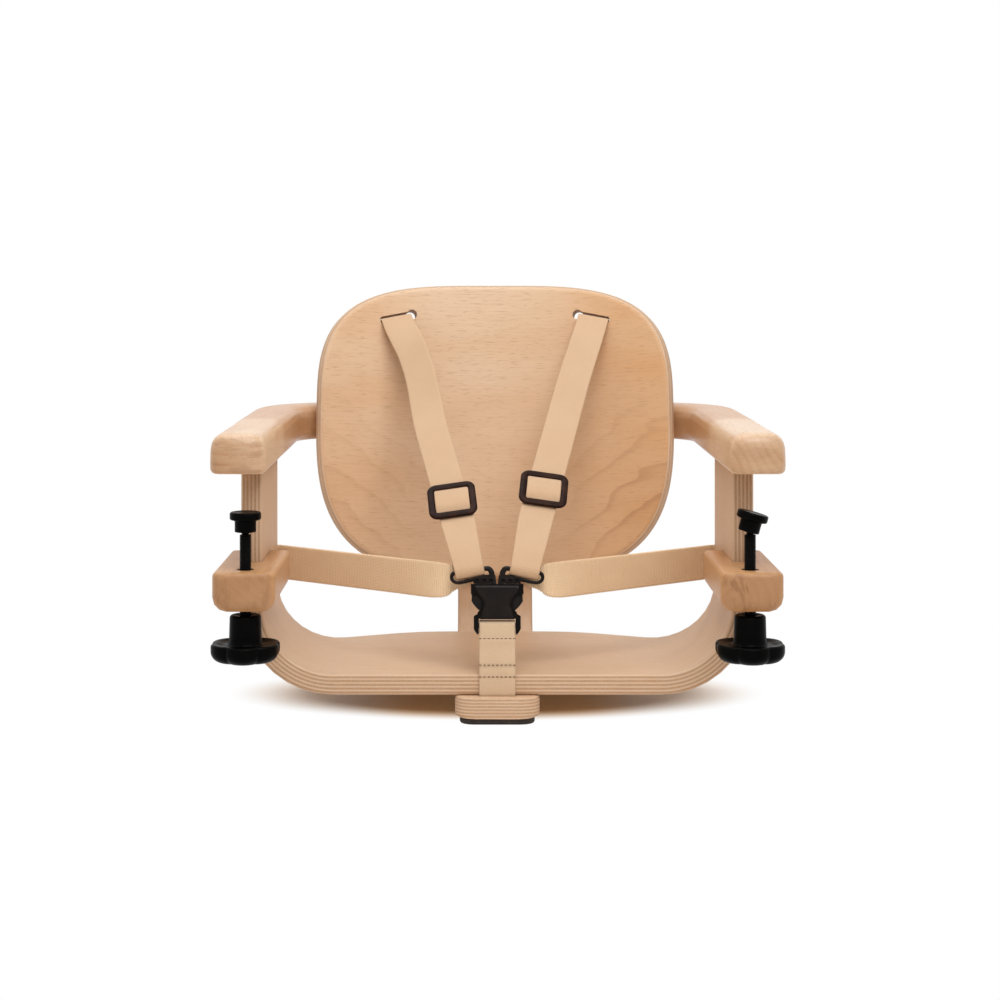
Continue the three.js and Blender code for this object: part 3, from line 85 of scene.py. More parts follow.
# Curved backrest
BACK_PLY = 0.012
BACK_CURVE = 0.450
BACK_HALF_WIDTH = 0.1475
BACK_UPPER = 0.108
BACK_LOWER = 0.139
BACK_SQUARENESS = 3.15
BACK_WIDEST = 0.159
BACK_FRONT_ROUND = 0.005
BACK_REAR_ROUND = 0.003
BACK_LAYERS = 9
PANEL_ROWS = 25
PANEL_TURNS = 240
PANEL_OFF_AXIS = 0.001
GLUE_LINE = 0.0002
BACK_CENTRE = SPINE_FACE + UP_THE_BACK * BACK_WIDEST + OUT_OF_BACK * (GLUE_LINE + BACK_PLY)
SLOT_LENGTH = 0.032
SLOT_WIDTH = 0.006
SLOT_TILT = math.radians(13)
SLOT_HEIGHT = 0.0783
SLOT_SIDE = 0.081
KEYHOLE = 0.0042
KEYHOLE_STEPS = 40

# Arms: sanded rounder in front of SANDED_TO, from SANDED_FROM of their height upward
SANDING_STEP = 0.0009
SANDED_TO = 0.060
SANDED_FADE = 0.040
SANDED_FROM = 0.2
SANDED_RISE = 0.5
SANDING_ROUNDS = {"": 8, "front": 90}

# Rounded edges of the foot pads
FOOT_ROUND = 0.0012

# Clamp screws; the profile lists give a radius or inset with a height or drop
SCREW_X = 0.1765
SCREW_Y = -0.0535
ROD_RADIUS = 0.0042
ROD_BOTTOM = 0.060
ROD_TOP = 0.1403
THREAD_PITCH = 0.00125
THREAD_DEPTH = 0.0003
THREAD_STEPS = 26
KNOB_RADIUS = 0.025
KNOB_VALLEY = 0.0026
KNOB_LOBES = 6
KNOB_TURNS = 216
KNOB_LOBE_ROUND = 0.7
KNOB_BOTTOM = 0.052
KNOB_FLANGE = 0.013
KNOB_UNDER_ROUND = (0.009, 0.008)
KNOB_TOP_ROUND = 0.002
KNOB_DISH = [(0.0045, 0.0002, 0.9), (0.0075, 0.0012, 0.5)]
HUB_RADIUS = 0.011
HUB_TOP = 0.0845
HUB_ROUND = 0.002
HUB_FOOT = [(0.0022, -0.0014), (0.0008, -0.0002), (0.0004, 0.003)]
HUB_MOUTH = [(0.0016, 0.0), (0.0004, 0.0009), (0.0001, 0.004)]
BALL_CENTRE = 0.1468
PAD_MOUTH = [(0.0, 0.0010), (0.0038, 0.0005), (0.0046, 0.0)]
PAD_COLLAR = 0.0075
PAD_COLLAR_ROUND = 0.0007
PAD_BOTTOM = -0.0045
PAD_COLLAR_TOP = 0.0026
PAD_STEP = (0.0003, 0.0008)
PAD_DISC = 0.011
PAD_DISC_BOTTOM = 0.0040
PAD_DISC_LIP = 0.0012
PAD_DISC_ROUND = 0.0014
PAD_TOP = 0.0095
PAD_DISH = 0.0003
PAD_TURNS = 72
PAD_TILT = {"left": 0.0, "right": math.radians(15)}

# Screw heads, as shares of a head's radius
HEAD_TOP = 0.72
HEAD_DOME = 0.32
RECESS_DEPTH = 0.42
RECESS_LENGTH = 1.15
RECESS_WIDTH = 0.22
HEAD_SHARE = 0.98
HEAD_HEIGHT = 0.0012

# Webbing
STRAP_WIDTH = 0.026
STRAP = 0.0016
STRAP_GAP = 0.0004
STRAP_TURN = 0.0032
STRAP_TAIL = 0.020
STRAP_STEP = 0.0003
BAR_STEPS = 24
STRAP_EASE = 0.0012
STRAP_LANES = 19
STRAP_RIM = (0.8, 1.57, 2.34)
TOOTH_SHARE = 0.6
PLEATS = 3
LIE = STRAP_GAP + STRAP / 2
SMOOTH_WARP = 0.0010
SMOOTH_WEFT = 0.0011
SMOOTH_RIB = 0.00004
RIBBED_WARP = 0.0011
RIBBED_WEFT = 0.00155
RIB = 0.00020

# Shoulder straps
SHOULDER_RUN = 0.239
SHOULDER_FALL = np.array([-0.213, -0.764, -0.609])
SHOULDER_FALL /= np.linalg.norm(SHOULDER_FALL)
REAR_LEG = 0.052
GATHER_LENGTH = 0.011
GATHER_CREASE = 5
SHOULDER_GATHER = 0.0214
HIDDEN_END = 0.022
SLOT_SHIFT = 0.0022
SLOT_RISE = 0.0016
SLOT_EASE = 0.090
SLOT_TWIST = 0.040
CURL = {"left": math.radians(20), "right": 0.0}
CURL_SHIFT = 0.0120
CURL_GROWS = 0.048
CURL_HOLDS = 0.060
CURL_FADES = 0.088

# Lap straps: their edges near the buckle as u, top and low
LAP_HEIGHT = 0.0992
LAP_END = 0.016
LAP_EDGES = [(0.020, 0.0079, 0.0005), (0.028, 0.0111, -0.0023), (0.031, 0.0130, -0.0038),
             (0.0335, 0.0149, -0.0055), (0.036, 0.0161, -0.0071), (0.040, 0.0166, -0.0086),
             (0.046, 0.0166, -0.0092), (0.054, 0.0166, -0.0094)]
LAP_RUN_DEPTH = 0.0080
LAP_BEND = 0.0402
LAP_PLEAT = 0.0004
LAP_LEANS = (0.040, 0.075)
LAP_HOLD = (LAP_BEND + 0.003, 0.0036)

# Crotch strap and its three sewn rows
CROTCH_END = 0.053
CROTCH_STEP = 0.0004
CROTCH_TAIL = 0.6
PLY_EDGE_ROUND = 0.0025
STITCH_ROWS = [0.0613, 0.0423, 0.0338]
STITCH_ROW_HALF = 0.0122
STITCH_MARGIN = 0.004
STITCH_LIFT = 0.00012
STITCH = {"length": 0.0023, "gap": 0.0006, "thickness": 0.0009}

# Strap adjusters; the fold is the webbing that bulges out of the window, as height along and out
ADJUSTER_DROP = {"left": 0.222, "right": 0.210}
ADJUSTER_SKEW = math.radians(7)
ADJUSTER_WIDTH = 0.0368
ADJUSTER_HEIGHT = 0.0346
ADJUSTER_RAIL = 0.0056
ADJUSTER_SIDE = 0.0030
ADJUSTER_INSET = ADJUSTER_RAIL * 0.05
ADJUSTER_BAR = 0.005
ADJUSTER_FRONT = 0.0032
ADJUSTER_ROUND = 0.0043
ADJUSTER_SECTION = 0.75
ADJUSTER_STEPS = 25
STRAP_FREE_BELOW = 0.018
FOLD_PROFILE = [(0.0132, 0.0010), (0.0108, 0.0026), (0.0060, 0.0044), (-0.0010, 0.0052),
                (-0.0066, 0.0046), (-0.0102, 0.0026), (-0.0130, 0.0010)]
FOLD_BEND = 0.012
FOLD_RIB = 0.00006

# Buckle: u to the right, v up along it, w out of its face; the frame's knots end with half its width
BUCKLE_ORIGIN = np.array([0, -0.002, 0.0974])
BUCKLE_LEAN = math.radians(15)
UP_THE_BUCKLE = np.array([0, math.sin(BUCKLE_LEAN), math.cos(BUCKLE_LEAN)])
OUT_OF_BUCKLE = np.array([0, -math.cos(BUCKLE_LEAN), math.sin(BUCKLE_LEAN)])
BUCKLE_THICKNESS = 0.009
BUCKLE_BAR_DROP = 0.0295
BUCKLE_BAR_RADIUS = 0.002
PRONG_THICKNESS = 0.0048
PRONG_BAR = 0.0032
PRONG_BAR_INNER = 0.0095
PRONG_BAR_OUTER = 0.0324
PRONG_BAR_HEIGHT = 0.012
PRONG_BAR_FALL = 0.0042
PRONG_PLATE_OUTER = 0.0172
PRONG_PLATE_TOP = [(-0.060, 0.0068), (0.0085, 0.0068), (0.0172, 0.0049), (0.060, 0.0049)]
PRONG_FRAME = [(0.0042, 0.0030, 0.0022), (0.0038, 0.0085, 0.0021), (0.0058, 0.0117, 0.0019),
               (0.0095, 0.0113, 0.0016), (0.0140, 0.0112, 0.0015), (0.0320, 0.0079, 0.0014),
               (0.0331, 0.0062, 0.0013), (0.0329, 0.0036, 0.0013), (0.0312, 0.0018, 0.0012),
               (0.0284, 0.0012, 0.0012), (0.0238, 0.0019, 0.0013), (0.0185, 0.0034, 0.0015),
               (0.0125, 0.0040, 0.0019)]
PRONG_FRAME_BEND = 0.004
PRONG_FRAME_SECTION = 0.7
PRONG_FRAME_STEPS = 20
SHOULDER_LOOP_MIDDLE = (PRONG_BAR_INNER + PRONG_BAR_OUTER) / 2 - 0.0007
POCKET = 0.0014
POCKET_PLACES = (0.0044, 0.0094, 0.0144)
POCKET_HEIGHT = 0.0024
POCKET_DEPTH = 0.0022
POCKET_STEPS = 24
RIM = 0.00028
RIM_TURNS = 32
RIM_STEPS = 10
MOULDED_ROUND = 0.0007
LATCH_ROUND = 0.0005
BUCKLE_FACE = [(0.0160, -0.0012), (0.0160, -0.0045), (0.0128, -0.0085), (0.0096, -0.0122),
               (0.0093, -0.0160), (0.0112, -0.0200), (0.0122, -0.0254)]
BUCKLE_FACE_BEND = 0.004
BUCKLE_FACE_ROWS = [(0.0, -0.0004), (0.0, 0.0004), (0.0006, 0.0009), (0.0018, 0.0012), (0.0036, 0.0013)]

# Stage and camera
FLOOR_REACH = 6.0
# Where the floor keeps the chair's shadow; in it the floor is painted warm and given a faint warm glow,
# painted bounce light from the wood
SHADOW_CENTRE = (0.0, 0.090)
SHADOW_REACH = (0.19, 0.092)
SHADOW_FADE = (0.70, 1.10)
SHADOW_WARM = (0.055, 0.120)
FLOOR_LIFT = 0.06
WORLD_LIGHT = 0.42
LENS = 73.0
LENS_SHIFT = (0.0197, -0.235)
CAMERA_PLACE = (-0.0122, -1.472, 0.329)

MIRROR = np.array([-1.0, 1, 1])
SIDES = {"left": MIRROR, "right": np.ones(3)}


def unit(vector):
    return vector / np.linalg.norm(vector)


class Value:
    """A socket of a node tree; arithmetic on it adds Math nodes."""

    def __init__(self, tree, socket):
        self.tree = tree
        self.socket = socket

    def math(self, operation, *others):
        return self.tree.math(operation, self, *others)

    def __add__(self, other):
        return self.math("ADD", other)

    def __radd__(self, other):
        return self.math("ADD", other)

    def __sub__(self, other):
        return self.math("SUBTRACT", other)

    def __rsub__(self, other):
        return self.tree.math("SUBTRACT", other, self)

    def __mul__(self, other):
        return self.math("MULTIPLY", other)

    def __truediv__(self, other):
        return self.math("DIVIDE", other)

    def __rtruediv__(self, other):
        return self.tree.math("DIVIDE", other, self)

    def __pow__(self, other):
        return self.math("POWER", other)

    def between(self, low, high):
        """0 up to low, 1 from high, smooth between."""
        inputs = {0: self, 1: low, 2: high}
        return self.tree.node("ShaderNodeMapRange", inputs, interpolation_type="SMOOTHSTEP")

    def clamped(self, low, high):
        return self.math("MAXIMUM", low).math("MINIMUM", high)


class Tree:
    """A node tree that is written as expressions."""

    def __init__(self, tree):
        self.tree = tree

    @staticmethod
    def socket(sockets, key):
        if isinstance(key, int):
            return sockets[key]
        return next(s for s in sockets if key in (s.identifier, s.name))

    def node(self, kind, inputs=None, output=0, **settings):
        made = self.tree.nodes.new(kind)
        for name, value in settings.items():
            setattr(made, name, value)
        for key, value in (inputs or {}).items():
            socket = self.socket(made.inputs, key)
            for item in value if isinstance(value, list) else [value]:
                if isinstance(item, Value):
                    self.tree.links.new(item.socket, socket)
                else:
                    socket.default_value = item
        if output is None:
            return None
        return Value(self, self.socket(made.outputs, output))

    def math(self, operation, *values):
        return self.node("ShaderNodeMath", dict(enumerate(values)), operation=operation)

    def vector(self, x, y, z):
        return self.node("ShaderNodeCombineXYZ", {0: x, 1: y, 2: z})

    def parts(self, vector):
        first = self.node("ShaderNodeSeparateXYZ", {0: vector})
        outputs = first.socket.node.outputs
        return [Value(self, outputs[i]) for i in range(3)]

    def mix(self, share, first, second):
        inputs = {"Factor_Float": share, "A_Color": first, "B_Color": second}
        return self.node("ShaderNodeMix", inputs, "Result_Color", data_type="RGBA")

    def noise(self, place, scale=1.0, detail=2.0, roughness=0.5, distortion=0.0):
        inputs = {"Vector": self.vector(*place), "Scale": scale, "Detail": detail, "Roughness": roughness,
                  "Distortion": distortion}
        return self.node("ShaderNodeTexNoise", inputs)

    def place(self):
        return self.parts(self.node("ShaderNodeTexCoord", output="Object"))


# Finishes

def emptied(owner):
    """The node tree of a material or world, without its first nodes."""
    owner.use_nodes = True
    owner.node_tree.nodes.clear()
    return Tree(owner.node_tree)


def finish(name, paint, bump=0.0, **constants):
    """A material; paint gives the sockets that vary, with Height for the bump."""
    material = bpy.data.materials.new(name)
    tree = emptied(material)
    inputs = {**constants, **paint(tree)}
    height = inputs.pop("Height", None)
    if height is not None:
        bumps = {"Strength": 1.0, "Distance": bump, "Height": height}
        inputs["Normal"] = tree.node("ShaderNodeBump", bumps)
    shader = tree.node("ShaderNodeBsdfPrincipled", inputs)
    tree.node("ShaderNodeOutputMaterial", {"Surface": shader}, output=None)
    return material


BEECH_LIGHT = (0.725, 0.512, 0.335, 1)
BEECH_DEEP = (0.61, 0.315, 0.122, 1)
BEECH_LINE = (0.40, 0.19, 0.078, 1)
BEECH_END = (0.39, 0.205, 0.096, 1)
# Darker beech of the arms' rear bends, partly painted shade, and the painted shade of the clamp blocks
BEECH_REAR = (0.50, 0.235, 0.085, 1)
BEECH_STAIN = (0.26, 0.115, 0.045, 1)
BEECH_PINK = (0.70, 0.485, 0.325, 1)
# Darker pink of the seat's flat: its pink tint with painted shade
SEAT_SHADED_PINK = (0.56, 0.385, 0.25, 1)
PLY_PALE = (0.68, 0.495, 0.35, 1)
PLY_DARK = (0.34, 0.185, 0.088, 1)
YARN_SHADE = (0.47, 0.28, 0.145, 1)
STEEL_BLACK = (0.0008, 0.0006, 0.0005, 1)
STEEL_WORN = (0.003, 0.0024, 0.002, 1)
RUBBER_DARK = (0.030, 0.021, 0.018, 1)
RUBBER_DUSTY = (0.060, 0.045, 0.038, 1)
ZINC_DULL = (0.62, 0.63, 0.65, 1)
ZINC_BRIGHT = (0.74, 0.75, 0.77, 1)
THREAD_DARK = (0.085, 0.042, 0.018, 1)
THREAD_LIGHT = (0.20, 0.105, 0.05, 1)
SMOOTH_TONES = ((0.652, 0.438, 0.273, 1), (0.60, 0.388, 0.231, 1))
# Lighter copy of the smooth webbing's colours for the crotch strap: painted light
CROTCH_LIT_TONES = ((0.69, 0.515, 0.345, 1), (0.64, 0.46, 0.30, 1))
RIBBED_TONES = ((0.85, 0.62, 0.395, 1), (0.775, 0.54, 0.33, 1))
BLACK_TONES = ((0.0008, 0.0007, 0.0007, 1), (0.0020, 0.0017, 0.0016, 1))
BROWN_BLACK_TONES = ((0.0046, 0.0025, 0.0017, 1), (0.0105, 0.0056, 0.0037, 1))
# Darker copy of the buckle's plastic for its housing: painted shade in the recesses beside the raised face
SHADED_BLACK_TONES = ((0.0018, 0.0011, 0.0008, 1), (0.0046, 0.0026, 0.0018, 1))
DARK_BROWN_TONES = ((0.013, 0.0048, 0.0029, 1), (0.036, 0.0130, 0.0078, 1))
# Floor in the chair's shadow, painted warm with bounce light from the wood, warmest under its middle
SHADOW_CORE = (1.0, 0.64, 0.33, 1)
SHADOW_SIDE = (1.0, 0.88, 0.76, 1)
FLOOR_PALE = (0.96, 0.86, 0.77, 1)
WHITE = (1, 1, 1, 1)


def beech(tree, along, across, depth, seed, growth, figure, tone_and_shade):
    """Colour, roughness and height of a beech face; growth counts the rings that the cut shows, and the
    last share darkens the face, for the wood's tone and, on the backrest, for painted shade.
    """
    waver = tree.noise((along * 8.0 + seed, across * 40.0, depth * 40.0), 1.0, 2.0, 0.5) - 0.5
    ring = (growth + waver * 1.3).math("FRACT")
    rising = ring.between(0.30, 0.93) * 0.35 + ring.between(0.72, 0.93) * 0.65
    late = rising * (1 - ring.between(0.95, 1.0))
    fibre = tree.noise((along * 18.0 + seed, across * 620.0, depth * 620.0), 1.0, 3.0, 0.6)
    flecks = tree.noise((along * 95.0, across * 1500.0 + seed, depth * 1500.0), 1.0, 1.0, 0.5)
    fleck = flecks.between(0.61, 0.70)
    mottle = tree.noise((along * 7.0, across * 18.0 + seed, depth * 18.0), 1.0, 2.0, 0.5)
    warm = (mottle.between(0.35, 0.70) * 0.28 + tone_and_shade).clamped(0, 1)
    base = tree.mix(warm, BEECH_LIGHT, BEECH_DEEP)
    ringed = tree.mix(late * figure, base, BEECH_LINE)
    streaked = tree.mix(fibre.between(0.45, 0.72) * 0.13, ringed, BEECH_LINE)
    flecked = tree.mix(fleck * 0.40, streaked, BEECH_LINE)
    rough = 0.42 + fibre * 0.16 + fleck * 0.08
    height = fibre * 0.35 - fleck * 0.6
    return flecked, rough, height


def layered(tree, face, rough, height, along, across, depth, ply, layers, contrast):
    """The face veneer with the plies that show where the edge cuts through them."""
    wander = tree.noise((along * 14.0, across * 14.0, depth * 60.0), 1.0, 1.0) - 0.5
    share = (depth + wander * 0.0004) / ply * layers
    dark = (share * 0.5).math("FRACT").math("GREATER_THAN", 0.5)
    glue = (share.math("FRACT") - 0.5).math("ABSOLUTE").between(0.40, 0.5)
    inside = depth.between(0.0005, 0.0009) * (1 - depth.between(ply - 0.0009, ply - 0.0005))
    streak = tree.noise((along * 60.0, across * 60.0, depth * 1400.0), 1.0, 3.0, 0.6)
    pores = tree.noise((along * 900.0, across * 900.0, depth * 900.0), 1.0, 1.0, 0.6)
    pale = tree.mix(streak.between(0.35, 0.7) * 0.3, PLY_PALE, BEECH_DEEP)
    brown = tree.mix(pores.between(0.4, 0.65) * 0.5, PLY_DARK, BEECH_DEEP)
    plies = tree.mix(dark * contrast, pale, brown)
    glued = tree.mix(glue * (contrast * 0.5), plies, PLY_DARK)
    return {
        "Base Color": tree.mix(inside, face, glued),
        "Roughness": rough + inside * 0.14,
        "Height": height - inside * glue * 0.7 - inside * dark * 0.25,
    }


def backrest_paint(tree):
    x, y, z = tree.place()
    y = y - BACK_CENTRE[1]
    z = z - BACK_CENTRE[2]
    out = y * OUT_OF_BACK[1] + z * OUT_OF_BACK[2]
    up = y * UP_THE_BACK[1] + z * UP_THE_BACK[2]
    depth = (x * x + (BACK_CURVE - out) ** 2).math("SQRT") - BACK_CURVE
    flank = x.math("ABSOLUTE").between(0.04, 0.125)
    low = 1 - up.between(-0.09, 0.03)
    # Painted shade: the panel's flanks, its lower part and its right half are painted darker.
    tone_and_shade = flank * 0.24 + low * 0.08 + x.between(-0.02, 0.12) * 0.36
    growth = (up - x.math("ABSOLUTE").between(0.03, 0.15) * 0.075) * 34.0
    figure = flank * low * (x.between(-0.05, 0.1) * 0.30 + 0.20) + 0.03
    place = (x, up, depth)
    face, rough, height = beech(tree, *place, seed=3.7, growth=growth, figure=figure, tone_and_shade=tone_and_shade)
    return layered(tree, face, rough, height, *place, BACK_PLY, BACK_LAYERS, contrast=0.45)


def seat_paint(tree):
    x, y, z = tree.place()
    flat = SEAT_HALF_WIDTH - SEAT_CORNER
    bend_top = SEAT_UNDERSIDE + SEAT_CORNER
    beside = x.math("ABSOLUTE")
    past = (beside - flat).math("MAXIMUM", 0)
    below = (bend_top - z).math("MAXIMUM", 0)
    depth = SEAT_CORNER - (past * past + below * below).math("SQRT")
    turn = past.math("ARCTAN2", below)
    along = beside.math("MINIMUM", flat) + turn * SEAT_CORNER + (z - bend_top).math("MAXIMUM", 0)
    side = x.math("SIGN")
    place = (along * side, y, depth)
    face, rough, height = beech(tree, *place, seed=8.1, growth=y * 60.0, figure=0.05, tone_and_shade=0.05)
    # The seat's flat is painted darker than the uprights: painted shade under the backrest and arms, over
    # the ply's pink tint.
    upright = along.between(flat + SEAT_CORNER * 0.6, flat + SEAT_CORNER * 1.7)
    pink = tree.mix(0.62, face, tree.mix(upright, SEAT_SHADED_PINK, BEECH_PINK))
    return layered(tree, pink, rough, height, *place, SEAT_PLY, SEAT_LAYERS, contrast=0.62)


def spine_paint(tree):
    x, y, z = tree.place()
    back = y - SPINE_BEND_START
    down = (SPINE_TOP + SPINE_BEND) - z
    turn = back.math("ARCTAN2", down).clamped(0, math.pi / 2 - RECLINE)
    depth = back * turn.math("SINE") + down * turn.math("COSINE") - SPINE_BEND
    along = back * turn.math("COSINE") - down * turn.math("SINE") + turn * SPINE_BEND
    place = (along, x, depth)
    face, rough, height = beech(tree, *place, seed=5.3, growth=x * 80.0, figure=0.06, tone_and_shade=0.08)
    pink = tree.mix(0.45, face, BEECH_PINK)
    return layered(tree, pink, rough, height, *place, SPINE_PLY, SPINE_LAYERS, contrast=0.55)


def solid_beech_paint(pith, seed, rays, depth, end_share, painted_shade, stain_size):
    """Solid wood with its grain along Y; rings bend round a far-off pith, ends and rear are darker. The
    darker rear is partly the wood's tone and partly painted shade in the arm's bend, and a share of painted
    shade darkens a whole piece toward the rear colour.
    """
    pith_x, pith_z = pith
    stain_x, stain_z = stain_size

    def paint(tree):
        x, y, z = tree.place()
        wave = tree.noise((x * 22.0 + seed, y * 5.0, z * 22.0), 1.0, 2.0, 0.5) - 0.5
        off = ((x - pith_x) ** 2 + (z - pith_z) ** 2).math("SQRT") + wave * 0.012
        rings = (off * 165.0).math("FRACT")
        late = rings.between(0.3, 0.9) * (1 - rings.between(0.92, 1.0))
        patch = tree.noise((x * 30.0, y * 9.0 + seed, z * 30.0), 1.0, 2.0)
        fibre = tree.noise((x * 620.0, y * 26.0 + seed, z * 620.0), 1.0, 3.0, 0.6)
        flecks = tree.noise((x * 420.0, y * 130.0, z * 900.0 + seed), 1.0, 1.0)
        fleck = flecks.between(0.60, 0.70)
        stain = tree.noise((x * stain_x + seed, y * 8.0, z * stain_z), 1.0, 3.0, 0.65, 0.6)
        facing = tree.parts(tree.node("ShaderNodeNewGeometry", output="Normal"))[1]
        end = facing.math("ABSOLUTE").between(0.25, 0.95)
        # Painted shade with a darker tone: the arm's rear bend is painted darker.
        tail = y.between(0.045, 0.085)
        base = tree.mix(patch.between(0.35, 0.7) * 0.4 + depth, BEECH_LIGHT, BEECH_DEEP)
        rear = tree.mix((tail * 0.75 + painted_shade).clamped(0, 1), base, BEECH_REAR)
        ended = tree.mix(end * (patch.between(0.3, 0.75) * 0.3 + 0.85) * end_share, rear, BEECH_END)
        ringed = tree.mix(late * (patch.between(0.42, 0.66) * 0.30 + end * 0.16), ended, BEECH_LINE)
        stained = tree.mix(end * stain.between(0.50, 0.60) * rays, ringed, BEECH_STAIN)
        streaked = tree.mix(fibre.between(0.45, 0.72) * 0.16, stained, BEECH_LINE)
        return {
            "Base Color": tree.mix(fleck * 0.26, streaked, BEECH_LINE),
            "Roughness": 0.34 + fibre * 0.16 + end * 0.10,
            "Height": fibre * 0.35 - fleck * 0.4 - late * 0.15,
        }
    return paint


def webbing_paint(warp_pitch, weft_pitch, light, deep):
    """Plain-woven webbing read from the strap's own across and along measures."""
    def paint(tree):
        weave = tree.node("ShaderNodeAttribute", output="Vector", attribute_name="weave")
        across, along, _ = tree.parts(weave)
        warp = (across * (2 * math.pi / warp_pitch)).math("SINE")
        weft = (along * (2 * math.pi / weft_pitch)).math("SINE")
        crossing = warp * weft
        yarn = tree.noise((across * 260.0, along * 1500.0, 0.0), 1.0, 2.0, 0.6)
        cloud = tree.noise((across * 40.0, along * 28.0, 3.0), 1.0, 2.0)
        base = tree.mix(cloud.between(0.3, 0.7) * 0.4, light, deep)
        # Painted shade in the weave's hollows, with yarns darker at random.
        hollow = (1 - crossing.math("ABSOLUTE")).between(0.45, 1.0) * 0.22 + yarn.between(0.5, 0.75) * 0.16
        return {
            "Base Color": tree.mix(hollow, base, YARN_SHADE),
            "Roughness": 0.80 + yarn * 0.15,
            "Height": crossing * 0.5 + yarn * 0.4,
        }
    return paint


def plastic_paint(dark, light):
    """Moulded plastic with a fine grain and faint handling marks."""
    def paint(tree):
        x, y, z = tree.place()
        grain = tree.noise((x, y, z), 2600.0, 2.0, 0.6)
        smear = tree.noise((x, y, z), 90.0, 3.0, 0.6)
        return {
            "Base Color": tree.mix(smear.between(0.35, 0.75), dark, light),
            "Roughness": 0.20 + smear * 0.20 + grain * 0.06,
            "Height": grain,
        }
    return paint


def black_steel_paint(tree):
    x, y, z = tree.place()
    wear = tree.noise((x * 300.0, y * 300.0, z * 900.0), 1.0, 3.0, 0.6)
    return {
        "Base Color": tree.mix(wear.between(0.5, 0.8), STEEL_BLACK, STEEL_WORN),
        "Roughness": 0.32 + wear * 0.22,
    }


def rubber_paint(tree):
    x, y, z = tree.place()
    dust = tree.noise((x, y, z), 240.0, 3.0, 0.6)
    return {
        "Base Color": tree.mix(dust.between(0.4, 0.75), RUBBER_DARK, RUBBER_DUSTY),
        "Roughness": 0.68 + dust * 0.2,
        "Height": dust,
    }


def zinc_paint(tree):
    x, y, z = tree.place()
    spangle = tree.noise((x, y, z), 700.0, 2.0, 0.5)
    return {
        "Base Color": tree.mix(spangle, ZINC_DULL, ZINC_BRIGHT),
        "Roughness": 0.24 + spangle * 0.22,
    }


def thread_paint(tree):
    x, y, z = tree.place()
    twist = tree.noise((x * 2500.0, y * 2500.0, z * 2500.0), 1.0, 2.0)
    return {
        "Base Color": tree.mix(twist, THREAD_DARK, THREAD_LIGHT),
        "Roughness": 0.7 + twist * 0.2,
    }


VENEER_GRAIN = 0.00010
BACK_GRAIN = 0.00012
SOLID_GRAIN = 0.00012
PLASTIC_GRAIN = 0.00004
RUBBER_GRAIN = 0.00008
SMOOTH_WEAVE = 0.00010
RIBBED_WEAVE = 0.00026
VARNISH = {"Coat Weight": 0.35, "Coat Roughness": 0.22}
SHEEN = {"Sheen Weight": 0.15, "Sheen Roughness": 0.5}
ARM_WOOD = {"depth": 0.05, "end_share": 0.5, "painted_shade": 0.0, "stain_size": (26.0, 150.0)}
# The clamp blocks sit under the arms and are painted darker all over, by their depth and by their share
# toward the rear colour: painted shade.
BLOCK_WOOD = {"depth": 0.45, "end_share": 0.72, "painted_shade": 0.45, "stain_size": (95.0, 38.0)}


def solid_beech(name, pith, seed, rays, wood, **coat):
    return finish(f"solid_beech_{name}", solid_beech_paint(pith, seed, rays, **wood), SOLID_GRAIN, **coat)


def woven(name, warp, weft, light, deep, bump):
    return finish(f"webbing_{name}", webbing_paint(warp, weft, light, deep), bump, **SHEEN)


def plastic(name, dark, light, shine):
    return finish(name, plastic_paint(dark, light), PLASTIC_GRAIN, **{"Specular IOR Level": shine})


BACK_VENEER = finish("beech_veneer_back", backrest_paint, BACK_GRAIN)
SEAT_VENEER = finish("beech_veneer_seat", seat_paint, VENEER_GRAIN)
SPINE_VENEER = finish("beech_veneer_spine", spine_paint, VENEER_GRAIN)
ARM_BEECH = {
    "left": solid_beech("left_arm", pith=(-0.16, 0.42), seed=2.0, rays=0.30, wood=ARM_WOOD, **VARNISH),
    "right": solid_beech("right_arm", pith=(0.36, 0.30), seed=6.5, rays=0.16, wood=ARM_WOOD, **VARNISH),
}
BLOCK_BEECH = {
    "left": solid_beech("left_block", pith=(-0.12, 0.16), seed=11.0, rays=0.25, wood=BLOCK_WOOD),
    "right": solid_beech("right_block", pith=(0.163, 0.098), seed=14.2, rays=0.60, wood=BLOCK_WOOD),
}
SMOOTH_WEBBING = woven("smooth", SMOOTH_WARP, SMOOTH_WEFT, *SMOOTH_TONES, SMOOTH_WEAVE)
# The crotch strap is the smooth webbing painted lighter: painted light.
CROTCH_LIT_WEBBING = woven("crotch", SMOOTH_WARP, SMOOTH_WEFT, *CROTCH_LIT_TONES, SMOOTH_WEAVE)
RIBBED_WEBBING = woven("ribbed", RIBBED_WARP, RIBBED_WEFT, *RIBBED_TONES, RIBBED_WEAVE)
BLACK_PLASTIC = plastic("black_plastic", *BLACK_TONES, shine=0.035)
BUCKLE_PLASTIC = plastic("brown_black_plastic", *BROWN_BLACK_TONES, shine=0.14)
SHADED_HOUSING_PLASTIC = plastic("shaded_black_plastic", *SHADED_BLACK_TONES, shine=0.08)
ADJUSTER_PLASTIC = plastic("dark_brown_plastic", *DARK_BROWN_TONES, shine=0.07)
BLACK_STEEL = finish("black_steel", black_steel_paint, **{"Specular IOR Level": 0.07})
RUBBER = finish("brown_rubber", rubber_paint, RUBBER_GRAIN)
ZINC = finish("zinc_steel", zinc_paint, Metallic=1.0)
SEWING_THREAD = finish("sewing_thread", thread_paint)

# Meshes

record = frame["record"]
BODY_OF = {node: body for body, nodes in record["behaviour"]["bodies"].items() for node in nodes}
SLOT_OF = {entry["node"]: entry["material_slot"] for entry in record["subparts"]}
DOUBLED = 1e-7
CAD_DOUBLED = 2e-6
FLAT_ANGLE = math.radians(0.5)
EDGE_ANGLE = math.radians(38)


